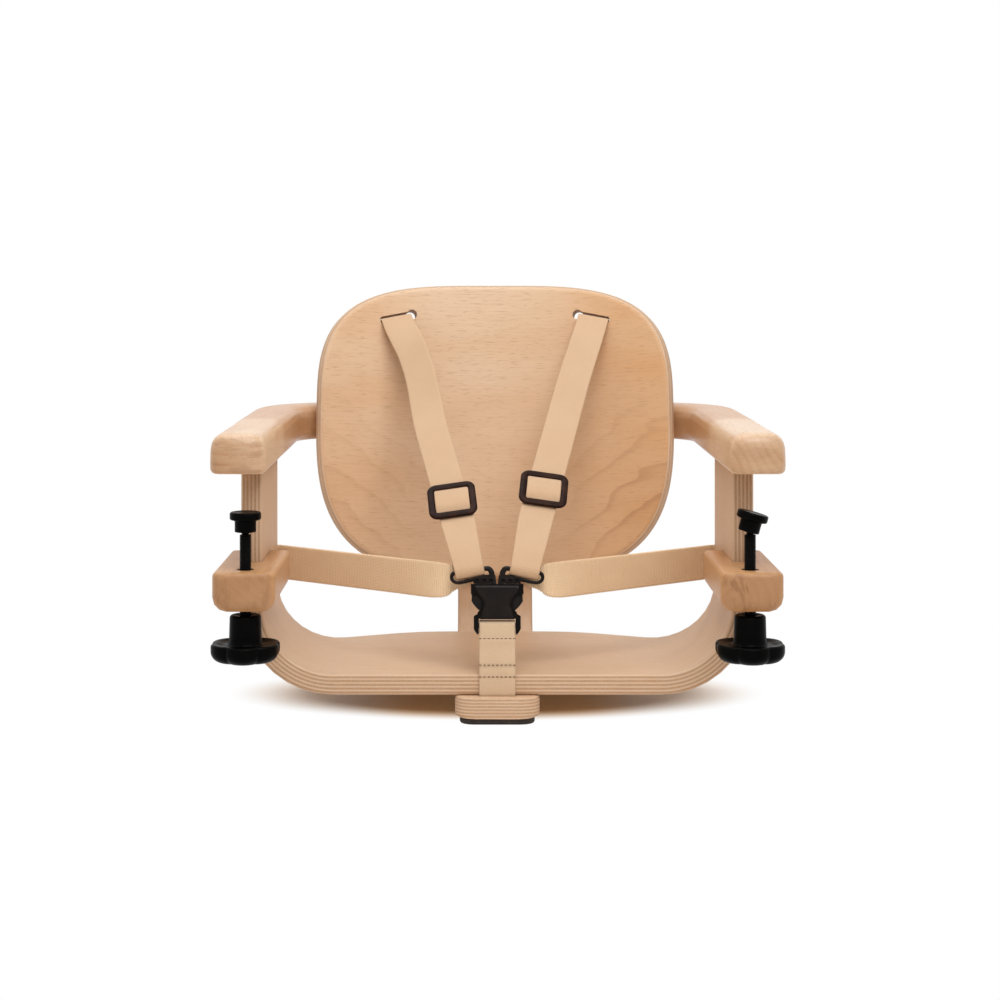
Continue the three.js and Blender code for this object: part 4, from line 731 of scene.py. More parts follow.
def shown(name, mesh):
    made = bpy.data.objects.new(name, mesh)
    scene.collection.objects.link(made)
    return made


def settled(made):
    """Plain mesh of an object with its modifiers done; the object goes."""
    depsgraph = bpy.context.evaluated_depsgraph_get()
    evaluated = made.evaluated_get(depsgraph)
    mesh = bpy.data.meshes.new_from_object(evaluated, preserve_all_data_layers=True, depsgraph=depsgraph)
    bpy.data.objects.remove(made)
    return mesh


def piece(name, mesh, material, *nodes, body=None, slot=None):
    """A finished piece that stands for CAD nodes and moves with their body."""
    mesh.name = name
    mesh.materials.clear()
    mesh.materials.append(material)
    made = shown(name, mesh)
    slot or SLOT_OF[nodes[0]]
    if nodes:
        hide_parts(*nodes)
    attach(made, body or BODY_OF[nodes[0]])
    return made


def mesh_of(name, points, faces):
    mesh = bpy.data.meshes.new(name)
    mesh.from_pydata([tuple(map(float, p)) for p in points], [], faces)
    mesh.validate()
    outward(mesh)
    return mesh


def outward(mesh, merged=True):
    """Turns the faces outward, with doubled points merged first."""
    shape = bmesh.new()
    shape.from_mesh(mesh)
    if merged:
        bmesh.ops.remove_doubles(shape, verts=shape.verts, dist=DOUBLED)
    bmesh.ops.recalc_face_normals(shape, faces=shape.faces)
    shape.to_mesh(mesh)
    shape.free()


def smooth(mesh, degrees=35):
    """Smooth shading with sharp edges kept, faces weighing by their area."""
    softly(mesh)
    mesh.set_sharp_from_angle(angle=math.radians(degrees))
    made = shown("shading", mesh)
    weigh = made.modifiers.new("weigh", "WEIGHTED_NORMAL")
    weigh.keep_sharp = True
    return settled(made)


def loft(rings, closed=True):
    """Points and faces of the skin over a row of rings, with flat ends."""
    sides = len(rings[0])
    points = [p for ring in rings for p in ring]
    faces = []
    for r in range(len(rings) - 1):
        for i in range(sides):
            a = r * sides + i
            b = r * sides + (i + 1) % sides
            faces.append((a, b, b + sides, a + sides))
    if closed:
        last = (len(rings) - 1) * sides
        faces.append(tuple(range(sides))[::-1])
        faces.append(tuple(last + i for i in range(sides)))
    return points, faces


def lathe(name, profile, sides):
    """Solid turned about Z from a profile of radius and height, from axis to axis."""
    rings = [[(r * math.cos(a), r * math.sin(a), z) for a in circle(sides)] for r, z in profile]
    return mesh_of(name, *loft(rings, closed=False))


def copy_of(node, bevel=0.0, segments=2):
    """Merged copy of a CAD node, with its sharp edges rounded off."""
    mesh = frame["nodes"][node].data.copy()
    shape = bmesh.new()
    shape.from_mesh(mesh)
    bmesh.ops.remove_doubles(shape, verts=shape.verts, dist=CAD_DOUBLED)
    if bevel:
        bmesh.ops.dissolve_limit(shape, angle_limit=FLAT_ANGLE, verts=shape.verts, edges=shape.edges)
    shape.to_mesh(mesh)
    shape.free()
    if not bevel:
        return mesh
    made = shown("rounding", mesh)
    rounding = made.modifiers.new("round", "BEVEL")
    rounding.width = bevel
    rounding.segments = segments
    rounding.limit_method = "ANGLE"
    rounding.angle_limit = EDGE_ANGLE
    rounding.use_clamp_overlap = True
    return settled(made)


def joined(mesh, *others):
    return less(mesh, *others, operation="UNION")


def less(mesh, *cutters, operation="DIFFERENCE"):
    """The mesh with other meshes cut out of it, or added to it."""
    made = shown("cut", mesh)
    tools = [shown("cutter", cutter) for cutter in cutters]
    for tool in tools:
        cutting = made.modifiers.new("cut", "BOOLEAN")
        cutting.operation = operation
        cutting.solver = "EXACT"
        cutting.object = tool
    result = settled(made)
    for tool in tools:
        bpy.data.objects.remove(tool)
    return result


def mirrored(mesh):
    copy = mesh.copy()
    copy.transform(Matrix.Diagonal((-1, 1, 1, 1)))
    copy.flip_normals()
    return copy


def on_side(mesh, side):
    """A copy of a right-hand mesh for either side."""
    return mirrored(mesh) if side == "left" else mesh.copy()


def softly(mesh):
    mesh.polygons.foreach_set("use_smooth", [True] * len(mesh.polygons))
    return mesh


def superround(share, power):
    """A sine or cosine pushed outward, for sections between round and square."""
    return math.copysign(abs(share) ** power, share)


def circle(steps):
    return np.linspace(0, 2 * math.pi, steps, endpoint=False)


# Geometry trees

def geometry_tree(name, sizes):
    """An empty geometry tree with named inputs, and its inputs as values."""
    group = bpy.data.node_groups.new(name, "GeometryNodeTree")
    group.interface.new_socket(name="Geometry", in_out="INPUT", socket_type="NodeSocketGeometry")
    for size in sizes:
        group.interface.new_socket(name=size, in_out="INPUT", socket_type="NodeSocketFloat")
    group.interface.new_socket(name="Geometry", in_out="OUTPUT", socket_type="NodeSocketGeometry")
    tree = Tree(group)
    sockets = group.nodes.new("NodeGroupInput").outputs
    return tree, Value(tree, sockets[0]), [Value(tree, sockets[i + 1]) for i in range(len(sizes))]


def ends(tree, geometry, material):
    """Realizes and paints the geometry, and makes it the output."""
    realized = tree.node("GeometryNodeRealizeInstances", {"Geometry": geometry})
    painted = tree.node("GeometryNodeSetMaterial", {"Geometry": realized, "Material": material})
    tree.node("NodeGroupOutput", {0: painted}, output=None)
    return tree


def grown(tree, base, **sizes):
    """Plain mesh that a geometry tree makes from a base mesh."""
    made = shown("growing", base)
    modifier = made.modifiers.new("grow", "NODES")
    modifier.node_group = tree.tree
    for item in tree.tree.interface.items_tree:
        if item.in_out == "INPUT" and item.name in sizes:
            modifier[item.identifier] = float(sizes[item.name])
    return settled(made)


def named(tree, name, kind="FLOAT"):
    return tree.node("GeometryNodeInputNamedAttribute", {"Name": name}, data_type=kind)


def attribute(mesh, name, kind, values):
    made = mesh.attributes.new(name, kind, "POINT")
    key = "value" if kind == "FLOAT" else "vector"
    made.data.foreach_set(key, np.asarray(values, dtype=np.float32).ravel())


def panel_tree():
    """Super-ellipse panel bent round an upright cylinder, from rings that know their inset and depth."""
    sizes = ["half_width", "upper", "lower", "squareness", "curve"]
    tree, geometry, (half_width, upper, lower, squareness, curve) = geometry_tree("panel", sizes)
    turn, inset, share, depth = [named(tree, n) for n in ("turn", "inset", "share", "depth")]
    cosine, sine = turn.math("COSINE"), turn.math("SINE")
    high = sine.math("GREATER_THAN", 0)
    wide = half_width - inset
    tall = high * upper + (1 - high) * lower - inset
    reach = ((cosine / wide).math("ABSOLUTE") ** squareness
             + (sine / tall).math("ABSOLUTE") ** squareness) ** (-1 / squareness)
    across = share * reach * cosine
    up = share * reach * sine
    angle = across / curve
    radius = curve + depth
    out = curve - radius * angle.math("COSINE")
    x = radius * angle.math("SINE")
    y = BACK_CENTRE[1] + up * UP_THE_BACK[1] + out * OUT_OF_BACK[1]
    z = BACK_CENTRE[2] + up * UP_THE_BACK[2] + out * OUT_OF_BACK[2]
    moved = {"Geometry": geometry, "Position": tree.vector(x, y, z)}
    bent = tree.node("GeometryNodeSetPosition", moved)
    closed = tree.node("GeometryNodeMergeByDistance", {"Geometry": bent, "Distance": 1e-6})
    return ends(tree, closed, BACK_VENEER)


def thread_tree():
    """A threaded rod standing on the origin: a core and a ridge that winds up it."""
    sizes = ["radius", "ridge", "pitch", "length"]
    tree, _, (radius, ridge, pitch, length) = geometry_tree("thread", sizes)
    standing = {"Start": (0, 0, 0), "End": tree.vector(0.0, 0.0, length)}
    axis = tree.node("GeometryNodeCurvePrimitiveLine", standing)
    steps = {"Curve": axis, "Count": length / pitch * THREAD_STEPS}
    line = tree.node("GeometryNodeResampleCurve", steps, mode="COUNT")
    z = tree.parts(tree.node("GeometryNodeInputPosition"))[2]
    turn = z / pitch * (2 * math.pi)
    middle = radius - ridge
    winding = tree.vector(turn.math("COSINE") * middle, turn.math("SINE") * middle, z)
    helix = tree.node("GeometryNodeSetPosition", {"Geometry": line, "Position": winding})
    level = tree.node("GeometryNodeSetCurveNormal", {"Curve": helix}, mode="Z_UP")
    four_sided = {"Resolution": 4, "Radius": ridge}
    section = tree.node("GeometryNodeCurvePrimitiveCircle", four_sided, mode="RADIUS")
    wound = {"Curve": level, "Profile Curve": section, "Fill Caps": True}
    ridges = tree.node("GeometryNodeCurveToMesh", wound)
    core = tree.node("GeometryNodeMeshCylinder", {"Vertices": 40, "Radius": middle, "Depth": length})
    lifted = {"Geometry": core, "Translation": tree.vector(0.0, 0.0, length / 2)}
    stood = tree.node("GeometryNodeTransform", lifted)
    both = tree.node("GeometryNodeJoinGeometry", {"Geometry": [ridges, stood]})
    return ends(tree, both, BLACK_STEEL)


def rib_tree():
    """Cross ribs on webbing, with a slightly toothed edge."""
    tree, geometry, (pitch, height, tooth) = geometry_tree("ribs", ["pitch", "height", "tooth"])
    along = tree.parts(named(tree, "weave", "FLOAT_VECTOR"))[1]
    wave = (along / pitch * (2 * math.pi)).math("COSINE")
    ridge = wave * height * named(tree, "crease")
    normal = tree.node("GeometryNodeInputNormal")
    lift = tree.node("ShaderNodeVectorMath", {0: normal, "Scale": ridge}, operation="SCALE")
    edge = named(tree, "edge", "FLOAT_VECTOR")
    push = tree.node("ShaderNodeVectorMath", {0: edge, "Scale": wave * tooth}, operation="SCALE")
    offset = tree.node("ShaderNodeVectorMath", {0: lift, 1: push}, operation="ADD")
    ribbed = tree.node("GeometryNodeSetPosition", {"Geometry": geometry, "Offset": offset})
    return ends(tree, ribbed, RIBBED_WEBBING)


def stitch_tree():
    """Stitches along the edges of a mesh."""
    tree, geometry, (length, gap, thickness) = geometry_tree("stitches", ["length", "gap", "thickness"])
    rows = tree.node("GeometryNodeMeshToCurve", {"Mesh": geometry})
    spacing = {"Curve": rows, "Length": length + gap}
    spaced = tree.node("GeometryNodeResampleCurve", spacing, mode="LENGTH")
    bead = tree.node("GeometryNodeMeshUVSphere", {"Segments": 8, "Rings": 6, "Radius": 0.5})
    size = tree.vector(length, thickness, thickness * 0.8)
    stitch = tree.node("GeometryNodeTransform", {"Geometry": bead, "Scale": size})
    way = {"Vector": tree.node("GeometryNodeInputTangent")}
    turned = tree.node("FunctionNodeAlignRotationToVector", way, axis="X")
    placed = {"Points": spaced, "Instance": stitch, "Rotation": turned}
    return ends(tree, tree.node("GeometryNodeInstanceOnPoints", placed), SEWING_THREAD)


def screw_tree():
    """Cross-recessed screw heads on points that know their axis and radius."""
    tree, geometry, (dome, recess) = geometry_tree("screw_heads", ["dome", "recess"])
    cone = {"Vertices": 28, "Side Segments": 1, "Radius Top": HEAD_TOP, "Radius Bottom": 1.0, "Depth": dome}
    body = tree.node("GeometryNodeMeshCone", cone)
    bars = []
    for wide, deep in ((RECESS_LENGTH, RECESS_WIDTH), (RECESS_WIDTH, RECESS_LENGTH)):
        bar = tree.node("GeometryNodeMeshCube", {"Size": tree.vector(wide, deep, recess)})
        lift = {"Geometry": bar, "Translation": tree.vector(0.0, 0.0, dome)}
        bars.append(tree.node("GeometryNodeTransform", lift))
    cut = {"Mesh 1": body, "Mesh 2": bars}
    head = tree.node("GeometryNodeMeshBoolean", cut, operation="DIFFERENCE")
    axis = {"Vector": named(tree, "axis", "FLOAT_VECTOR")}
    turned = tree.node("FunctionNodeAlignRotationToVector", axis, axis="Z")
    points = tree.node("GeometryNodeMeshToPoints", {"Mesh": geometry})
    placed = {"Points": points, "Instance": head, "Rotation": turned, "Scale": named(tree, "head_radius")}
    return ends(tree, tree.node("GeometryNodeInstanceOnPoints", placed), ZINC)


# Wooden pieces

def on_back(across, up, depth):
    """A place on the backrest, at a depth behind its front."""
    angle = across / BACK_CURVE
    radius = BACK_CURVE + depth
    out = BACK_CURVE - radius * math.cos(angle)
    return BACK_CENTRE + UP_THE_BACK * up + OUT_OF_BACK * out + SIDEWAYS * (radius * math.sin(angle))


SLOT_ACROSS = BACK_CURVE * math.asin(SLOT_SIDE / BACK_CURVE)
SLOT_CENTRE = on_back(SLOT_ACROSS, SLOT_HEIGHT, 0)


def slot_axes():
    """Along the right-hand slot, down across it and out of the panel's front."""
    angle = SLOT_ACROSS / BACK_CURVE
    sideways = SIDEWAYS * math.cos(angle) + OUT_OF_BACK * math.sin(angle)
    out = OUT_OF_BACK * math.cos(angle) - SIDEWAYS * math.sin(angle)
    along = sideways * math.cos(SLOT_TILT) - UP_THE_BACK * math.sin(SLOT_TILT)
    return along, np.cross(along, out), out


def rounded_outline(width, height, radius, steps=8):
    """A rectangle with round corners."""
    corners = [(1, 1, 0), (-1, 1, 1), (-1, -1, 2), (1, -1, 3)]
    points = []
    for side, level, quarter in corners:
        for i in range(steps + 1):
            angle = (quarter + i / steps) * math.pi / 2
            points.append((side * (width / 2 - radius) + radius * math.cos(angle),
                           level * (height / 2 - radius) + radius * math.sin(angle)))
    return points


def slot_cutter():
    """The right-hand slot for the webbing."""
    along, down, out = slot_axes()
    outline = rounded_outline(SLOT_LENGTH, SLOT_WIDTH, SLOT_WIDTH / 2 - 1e-5)
    rings = [[SLOT_CENTRE + along * a - down * b + out * w for a, b in outline]
             for w in (-BACK_PLY * 1.5, BACK_PLY * 1.5)]
    return mesh_of("slot", *loft(rings))


def slot_hole():
    """The round hole that the slot starts from, at its inner end."""
    along, down, out = slot_axes()
    centre = SLOT_CENTRE - along * (SLOT_LENGTH / 2 - KEYHOLE)
    outline = [centre + along * (KEYHOLE * math.cos(a)) + down * (KEYHOLE * math.sin(a))
               for a in circle(KEYHOLE_STEPS)]
    rings = [[place + out * w for place in outline] for w in (-BACK_PLY * 1.6, BACK_PLY * 1.6)]
    return mesh_of("hole", *loft(rings))


def panel_base():
    """Rings of the backrest from its front centre over the edge to its rear centre."""
    front, rear = BACK_FRONT_ROUND, BACK_REAR_ROUND
    rear_start = BACK_PLY - rear
    rows = [(share, front, 0.0) for share in np.linspace(0, 1, PANEL_ROWS)[:-1]]
    for angle in np.linspace(0, math.pi / 2, 9):
        rows.append((1.0, front * (1 - math.sin(angle)), front * (1 - math.cos(angle))))
    rows.append((1.0, 0.0, (front + rear_start) / 2))
    for angle in np.linspace(0, math.pi / 2, 7):
        rows.append((1.0, rear * (1 - math.cos(angle)), rear_start + rear * math.sin(angle)))
    rows += [(share, rear, BACK_PLY) for share in np.linspace(1, 0, PANEL_ROWS)[1:]]
    turns = circle(PANEL_TURNS) + PANEL_OFF_AXIS
    rings = [[(math.cos(t) * (1 + r), math.sin(t) * (1 + r), r * 0.01) for t in turns]
             for r in range(len(rows))]
    mesh = bpy.data.meshes.new("panel_base")
    points, faces = loft(rings, closed=False)
    mesh.from_pydata(points, [], faces)
    attribute(mesh, "turn", "FLOAT", [t for _ in rows for t in turns])
    for k, name in enumerate(("share", "inset", "depth")):
        attribute(mesh, name, "FLOAT", [row[k] for row in rows for _ in turns])
    return mesh


def backrest():
    panel = grown(panel_tree(), panel_base(), half_width=BACK_HALF_WIDTH, upper=BACK_UPPER,
                  lower=BACK_LOWER, squareness=BACK_SQUARENESS, curve=BACK_CURVE)
    outward(panel)
    cutter, hole = slot_cutter(), slot_hole()
    slotted = less(panel, cutter, mirrored(cutter), hole, mirrored(hole))
    piece("backrest_panel", smooth(slotted, 50), BACK_VENEER, "backrest")


def sanded(node):
    """Copy of an arm with its upper front edges sanded rounder."""
    made = shown("sanding", copy_of(node))
    even = made.modifiers.new("even", "REMESH")
    even.mode = "VOXEL"
    even.voxel_size = SANDING_STEP
    mesh = settled(made)
    made = shown("sanding", mesh)
    points = np.array([v.co for v in mesh.vertices])
    height = (points[:, 2] - points[:, 2].min()) / np.ptp(points[:, 2])
    toward_front = eased((SANDED_TO - points[:, 1]) / SANDED_FADE)
    weights = toward_front * eased((height - SANDED_FROM) / SANDED_RISE)
    group = made.vertex_groups.new(name="front")
    for index, weight in enumerate(weights):
        group.add([index], float(weight), "REPLACE")
    for name, rounds in SANDING_ROUNDS.items():
        sanding = made.modifiers.new("sand", "SMOOTH")
        sanding.factor = 0.5
        sanding.iterations = rounds
        sanding.vertex_group = name
    return softly(settled(made))


def wooden_frame():
    piece("seat_ply", smooth(copy_of("seat_shell")), SEAT_VENEER, "seat_shell")
    piece("spine_ply", smooth(copy_of("spine")), SPINE_VENEER, "spine")
    for side in SIDES:
        piece(f"{side}_arm_beech", sanded(f"{side}_arm"), ARM_BEECH[side], f"{side}_arm")
        block = smooth(copy_of(f"{side}_clamp_block"))
        piece(f"{side}_block_beech", block, BLOCK_BEECH[side], f"{side}_clamp_block")
    for end in ("front", "rear"):
        pad = smooth(copy_of(f"{end}_foot_pad", FOOT_ROUND, 3))
        piece(f"{end}_foot_rubber", pad, RUBBER, f"{end}_foot_pad")


# Clamps

def quarter_round(start, end, steps, radial=False):
    """Points of a quarter ellipse between two profile points, leaving along the radius or the axis."""
    (r0, z0), (r1, z1) = start, end
    points = []
    for i in range(steps + 1):
        angle = i / steps * math.pi / 2
        s, c = math.sin(angle), 1 - math.cos(angle)
        share_r, share_z = (s, c) if radial else (c, s)
        points.append((r0 + (r1 - r0) * share_r, z0 + (z1 - z0) * share_z))
    return points


def knob_mesh():
    """Lobed grip with a round underside and a hub on top."""
    turns = circle(KNOB_TURNS)
    lobe = np.abs(np.cos(KNOB_LOBES / 2 * (turns + math.pi / 2))) ** KNOB_LOBE_ROUND
    valley = KNOB_VALLEY * (1 - lobe)
    valley = (np.roll(valley, 1) + 2 * valley + np.roll(valley, -1)) / 4
    under_width, under_height = KNOB_UNDER_ROUND
    edge = quarter_round((under_width, 0.0), (0.0, under_height), 10, radial=True)
    edge += quarter_round((0.0, KNOB_FLANGE - KNOB_TOP_ROUND), (KNOB_TOP_ROUND, KNOB_FLANGE), 6)
    rows = [(inset, height, 1.0) for inset, height in edge]
    rows += [(inset, KNOB_FLANGE - drop, lobed) for inset, drop, lobed in KNOB_DISH]
    rings = [[(0, 0, KNOB_BOTTOM)] * len(turns)]
    for inset, height, lobed in rows:
        radii = KNOB_RADIUS - valley * lobed - inset
        level = KNOB_BOTTOM + height
        rings.append([(r * math.cos(t), r * math.sin(t), level) for r, t in zip(radii, turns)])
    foot = KNOB_BOTTOM + KNOB_FLANGE
    hub = [(HUB_RADIUS + wider, foot + height) for wider, height in HUB_FOOT]
    hub += quarter_round((HUB_RADIUS, HUB_TOP - HUB_ROUND), (HUB_RADIUS - HUB_ROUND, HUB_TOP), 6)
    hub += [(ROD_RADIUS + wider, HUB_TOP - drop) for wider, drop in HUB_MOUTH]
    hub += [(0, HUB_TOP - HUB_MOUTH[-1][1])]
    for radius, height in hub:
        rings.append([(radius * math.cos(t), radius * math.sin(t), height) for t in turns])
    return mesh_of("knob", *loft(rings, closed=False))


def pad_mesh():
    """Swivel pad round its ball: a stepped collar under a flat disc."""
    collar_edge = PAD_COLLAR - PAD_COLLAR_ROUND
    collar_low = PAD_BOTTOM + PAD_COLLAR_ROUND
    disc_edge = PAD_DISC - PAD_DISC_ROUND
    disc_low = PAD_DISC_BOTTOM + PAD_DISC_LIP
    step, step_rise = PAD_STEP
    profile = [(radius, PAD_BOTTOM + rise) for radius, rise in PAD_MOUTH] + [(collar_edge, PAD_BOTTOM)]
    profile += quarter_round((collar_edge, PAD_BOTTOM), (PAD_COLLAR, collar_low), 3, radial=True)
    profile += [(PAD_COLLAR, PAD_COLLAR_TOP), (PAD_COLLAR + step, PAD_COLLAR_TOP + step_rise)]
    profile += quarter_round((disc_edge, PAD_DISC_BOTTOM), (PAD_DISC, disc_low), 4, radial=True)
    profile += quarter_round((PAD_DISC, PAD_TOP - PAD_DISC_ROUND), (disc_edge, PAD_TOP), 5)
    profile += [(disc_edge - PAD_DISC_LIP, PAD_TOP - PAD_DISH), (0, PAD_TOP - PAD_DISH)]
    return lathe("pad", profile, PAD_TURNS)


def clamps():
    threaded = thread_tree()
    for side, mirror in SIDES.items():
        axis = Matrix.Translation((mirror[0] * SCREW_X, SCREW_Y, 0))
        empty = bpy.data.meshes.new("rod_base")
        rod = grown(threaded, empty, radius=ROD_RADIUS, ridge=THREAD_DEPTH, pitch=THREAD_PITCH,
                    length=ROD_TOP - ROD_BOTTOM)
        rod.transform(axis @ Matrix.Translation((0, 0, ROD_BOTTOM)))
        piece(f"{side}_threaded_rod", smooth(rod, 40), BLACK_STEEL, f"{side}_clamp_screw")
        knob = knob_mesh()
        knob.transform(axis)
        piece(f"{side}_lobed_knob", smooth(knob, 45), BLACK_PLASTIC, f"{side}_knob")
        pad = pad_mesh()
        tilt = Matrix.Rotation(PAD_TILT[side], 4, "Y")
        pad.transform(axis @ Matrix.Translation((0, 0, BALL_CENTRE)) @ tilt)
        piece(f"{side}_pad_disc", smooth(pad, 40), BLACK_PLASTIC, f"{side}_swivel_pad")
        piece(f"{side}_ball_neck", smooth(copy_of(f"{side}_ball_tip"), 50), BLACK_STEEL, f"{side}_ball_tip")
        piece(f"{side}_nut", smooth(copy_of(f"{side}_insert_nut"), 40), ZINC, f"{side}_insert_nut")


def screw_heads():
    """Every wood screw's head, its place and axis read from its CAD node."""
    groups = {"wood_screws": [], "anchor_screws": []}
    for node in BODY_OF:
        if "screw_" in node and "clamp" not in node:
            groups["wood_screws"].append(node)
        elif node.endswith("anchor_screw"):
            groups["anchor_screws"].append(node)
    heads = screw_tree()
    for name, nodes in groups.items():
        places, axes, radii = [], [], []
        for node in nodes:
            points = np.array([v.co for v in frame["nodes"][node].data.vertices])
            middle = (points.max(0) + points.min(0)) / 2
            axis = np.linalg.svd(points - points.mean(0))[2][0]
            heights = (points - middle) @ axis
            spread = np.linalg.norm(points - middle - np.outer(heights, axis), axis=1)
            if heights[spread.argmax()] < 0:
                axis, heights = -axis, -heights
            places.append(middle + axis * (heights.max() - HEAD_HEIGHT))
            axes.append(axis)
            radii.append(spread.max() * HEAD_SHARE)
        base = bpy.data.meshes.new(name)
        base.from_pydata([tuple(p) for p in places], [], [])
        attribute(base, "axis", "FLOAT_VECTOR", axes)
        attribute(base, "head_radius", "FLOAT", radii)
        piece(name, smooth(grown(heads, base, dome=HEAD_DOME, recess=RECESS_DEPTH), 30), ZINC, *nodes)


# Harness

def rounded_path(points, radius, steps=14):
    """A path through points, its corners rounded."""
    path = [points[0]]
    for before, corner, after in zip(points, points[1:], points[2:]):
        into, onward = corner - before, after - corner
        half = math.acos(np.clip(np.dot(unit(into), unit(onward)), -1, 1)) / 2
        room = 0.49 * min(np.linalg.norm(into), np.linalg.norm(onward))
        back = min(radius * math.tan(half), room)
        start, end = corner - unit(into) * back, corner + unit(onward) * back
        for t in np.linspace(0, 1, steps):
            path.append(start * (1 - t) ** 2 + corner * 2 * t * (1 - t) + end * t ** 2)
    return path + [points[-1]]


def round_bar(centre, side, front, radius):
    """Half a turn round a bar."""
    return [centre + side * (radius * math.cos(a)) + front * (radius * math.sin(a))
            for a in np.linspace(0, math.pi, BAR_STEPS)]


def eased(share):
    """0 to 1 with a slow start and end."""
    share = np.clip(share, 0, 1)
    return share * share * (3 - 2 * share)


def travelled(path):
    """The way gone at each point of a path."""
    return np.r_[0, np.cumsum(np.linalg.norm(np.diff(path, axis=0), axis=1))]


def webbing(path, across, width, ribs, pitch, step=STRAP_STEP, pleat=0.0, crease=None):
    """Webbing of rounded flat section along a path, ribbed across; also gives its length."""
    path = np.array(path)
    keep = np.r_[True, np.linalg.norm(np.diff(path, axis=0), axis=1) > 1e-6]
    crease = np.ones(len(path)) if crease is None else crease
    path, across, width, crease = [np.array(values)[keep] for values in (path, across, width, crease)]
    travel = travelled(path)
    places = np.linspace(0, travel[-1], max(int(travel[-1] / step), 2))
    reach = max(int(STRAP_EASE / step), 1)
    weights = np.ones(2 * reach + 1) / (2 * reach + 1)

    def spread(values):
        values = np.interp(places, travel, values)
        return np.convolve(np.pad(values, reach, mode="edge"), weights, mode="valid")

    middle = np.stack([np.interp(places, travel, path[:, k]) for k in range(3)], axis=1)
    across = np.stack([spread(across[:, k]) for k in range(3)], axis=1)
    width = spread(width)
    crease = spread(crease)
    along = np.gradient(middle, axis=0)
    rings, weave, edge = [], [], []
    lanes = np.linspace(-1, 1, STRAP_LANES)
    rim = [(math.sin(a), math.cos(a)) for a in STRAP_RIM]
    for place, way, side, wide, s in zip(middle, along, across, width, places):
        way = unit(way)
        side = unit(side - way * np.dot(side, way))
        out = np.cross(side, way)
        half = wide / 2 - STRAP / 2
        fold = pleat * (1 - wide / STRAP_WIDTH)
        face = [(a * half, fold * math.cos(PLEATS * math.pi * a)) for a in lanes]
        ring = [(a, b + STRAP / 2, 0) for a, b in face]
        ring += [(half + STRAP / 2 * a, face[-1][1] + STRAP / 2 * b, 1) for a, b in rim]
        ring += [(a, b - STRAP / 2, 0) for a, b in reversed(face)]
        ring += [(-half - STRAP / 2 * a, face[0][1] - STRAP / 2 * b, -1) for a, b in rim]
        rings.append([place + side * a + out * b for a, b, _ in ring])
        weave += [(a, s, 0) for a, _, _ in ring]
        edge += [side * e for _, _, e in ring]
    mesh = bpy.data.meshes.new("webbing")
    points, faces = loft(rings)
    mesh.from_pydata([tuple(map(float, p)) for p in points], [], faces)
    attribute(mesh, "weave", "FLOAT_VECTOR", weave)
    attribute(mesh, "edge", "FLOAT_VECTOR", edge)
    attribute(mesh, "crease", "FLOAT", np.repeat(crease, len(rings[0])))
    outward(mesh, merged=False)
    ribbed = grown(RIBS, mesh, pitch=pitch, height=ribs, tooth=ribs * TOOTH_SHARE)
    return softly(ribbed), travel[-1]


RIBS = rib_tree()
STITCHES = stitch_tree()


def in_buckle(u, v, w=0.0):
    return BUCKLE_ORIGIN + SIDEWAYS * u + UP_THE_BUCKLE * v + OUT_OF_BUCKLE * w


def bar_height(u):
    """Height of a buckle half's shoulder bar, which falls outward."""
    share = (u - PRONG_BAR_INNER) / (PRONG_BAR_OUTER - PRONG_BAR_INNER)
    return PRONG_BAR_HEIGHT - PRONG_BAR_FALL * share


SHOULDER_LOOP = math.hypot(PRONG_BAR, PRONG_THICKNESS) / 2 + LIE
SHOULDER_BAR = in_buckle(SHOULDER_LOOP_MIDDLE, bar_height(SHOULDER_LOOP_MIDDLE))
SHOULDER_WIDTH = unit(in_buckle(PRONG_BAR_OUTER, bar_height(PRONG_BAR_OUTER))
                      - in_buckle(PRONG_BAR_INNER, bar_height(PRONG_BAR_INNER)))
LAP_HELD = in_buckle(*LAP_HOLD, -LAP_RUN_DEPTH)


def slot_floor(depth):
    """Middle of the webbing in its slot, at a depth behind the backrest's front."""
    _, down, out = slot_axes()
    return SLOT_CENTRE + down * (SLOT_WIDTH / 2 - LIE - STRAP_GAP) - out * depth


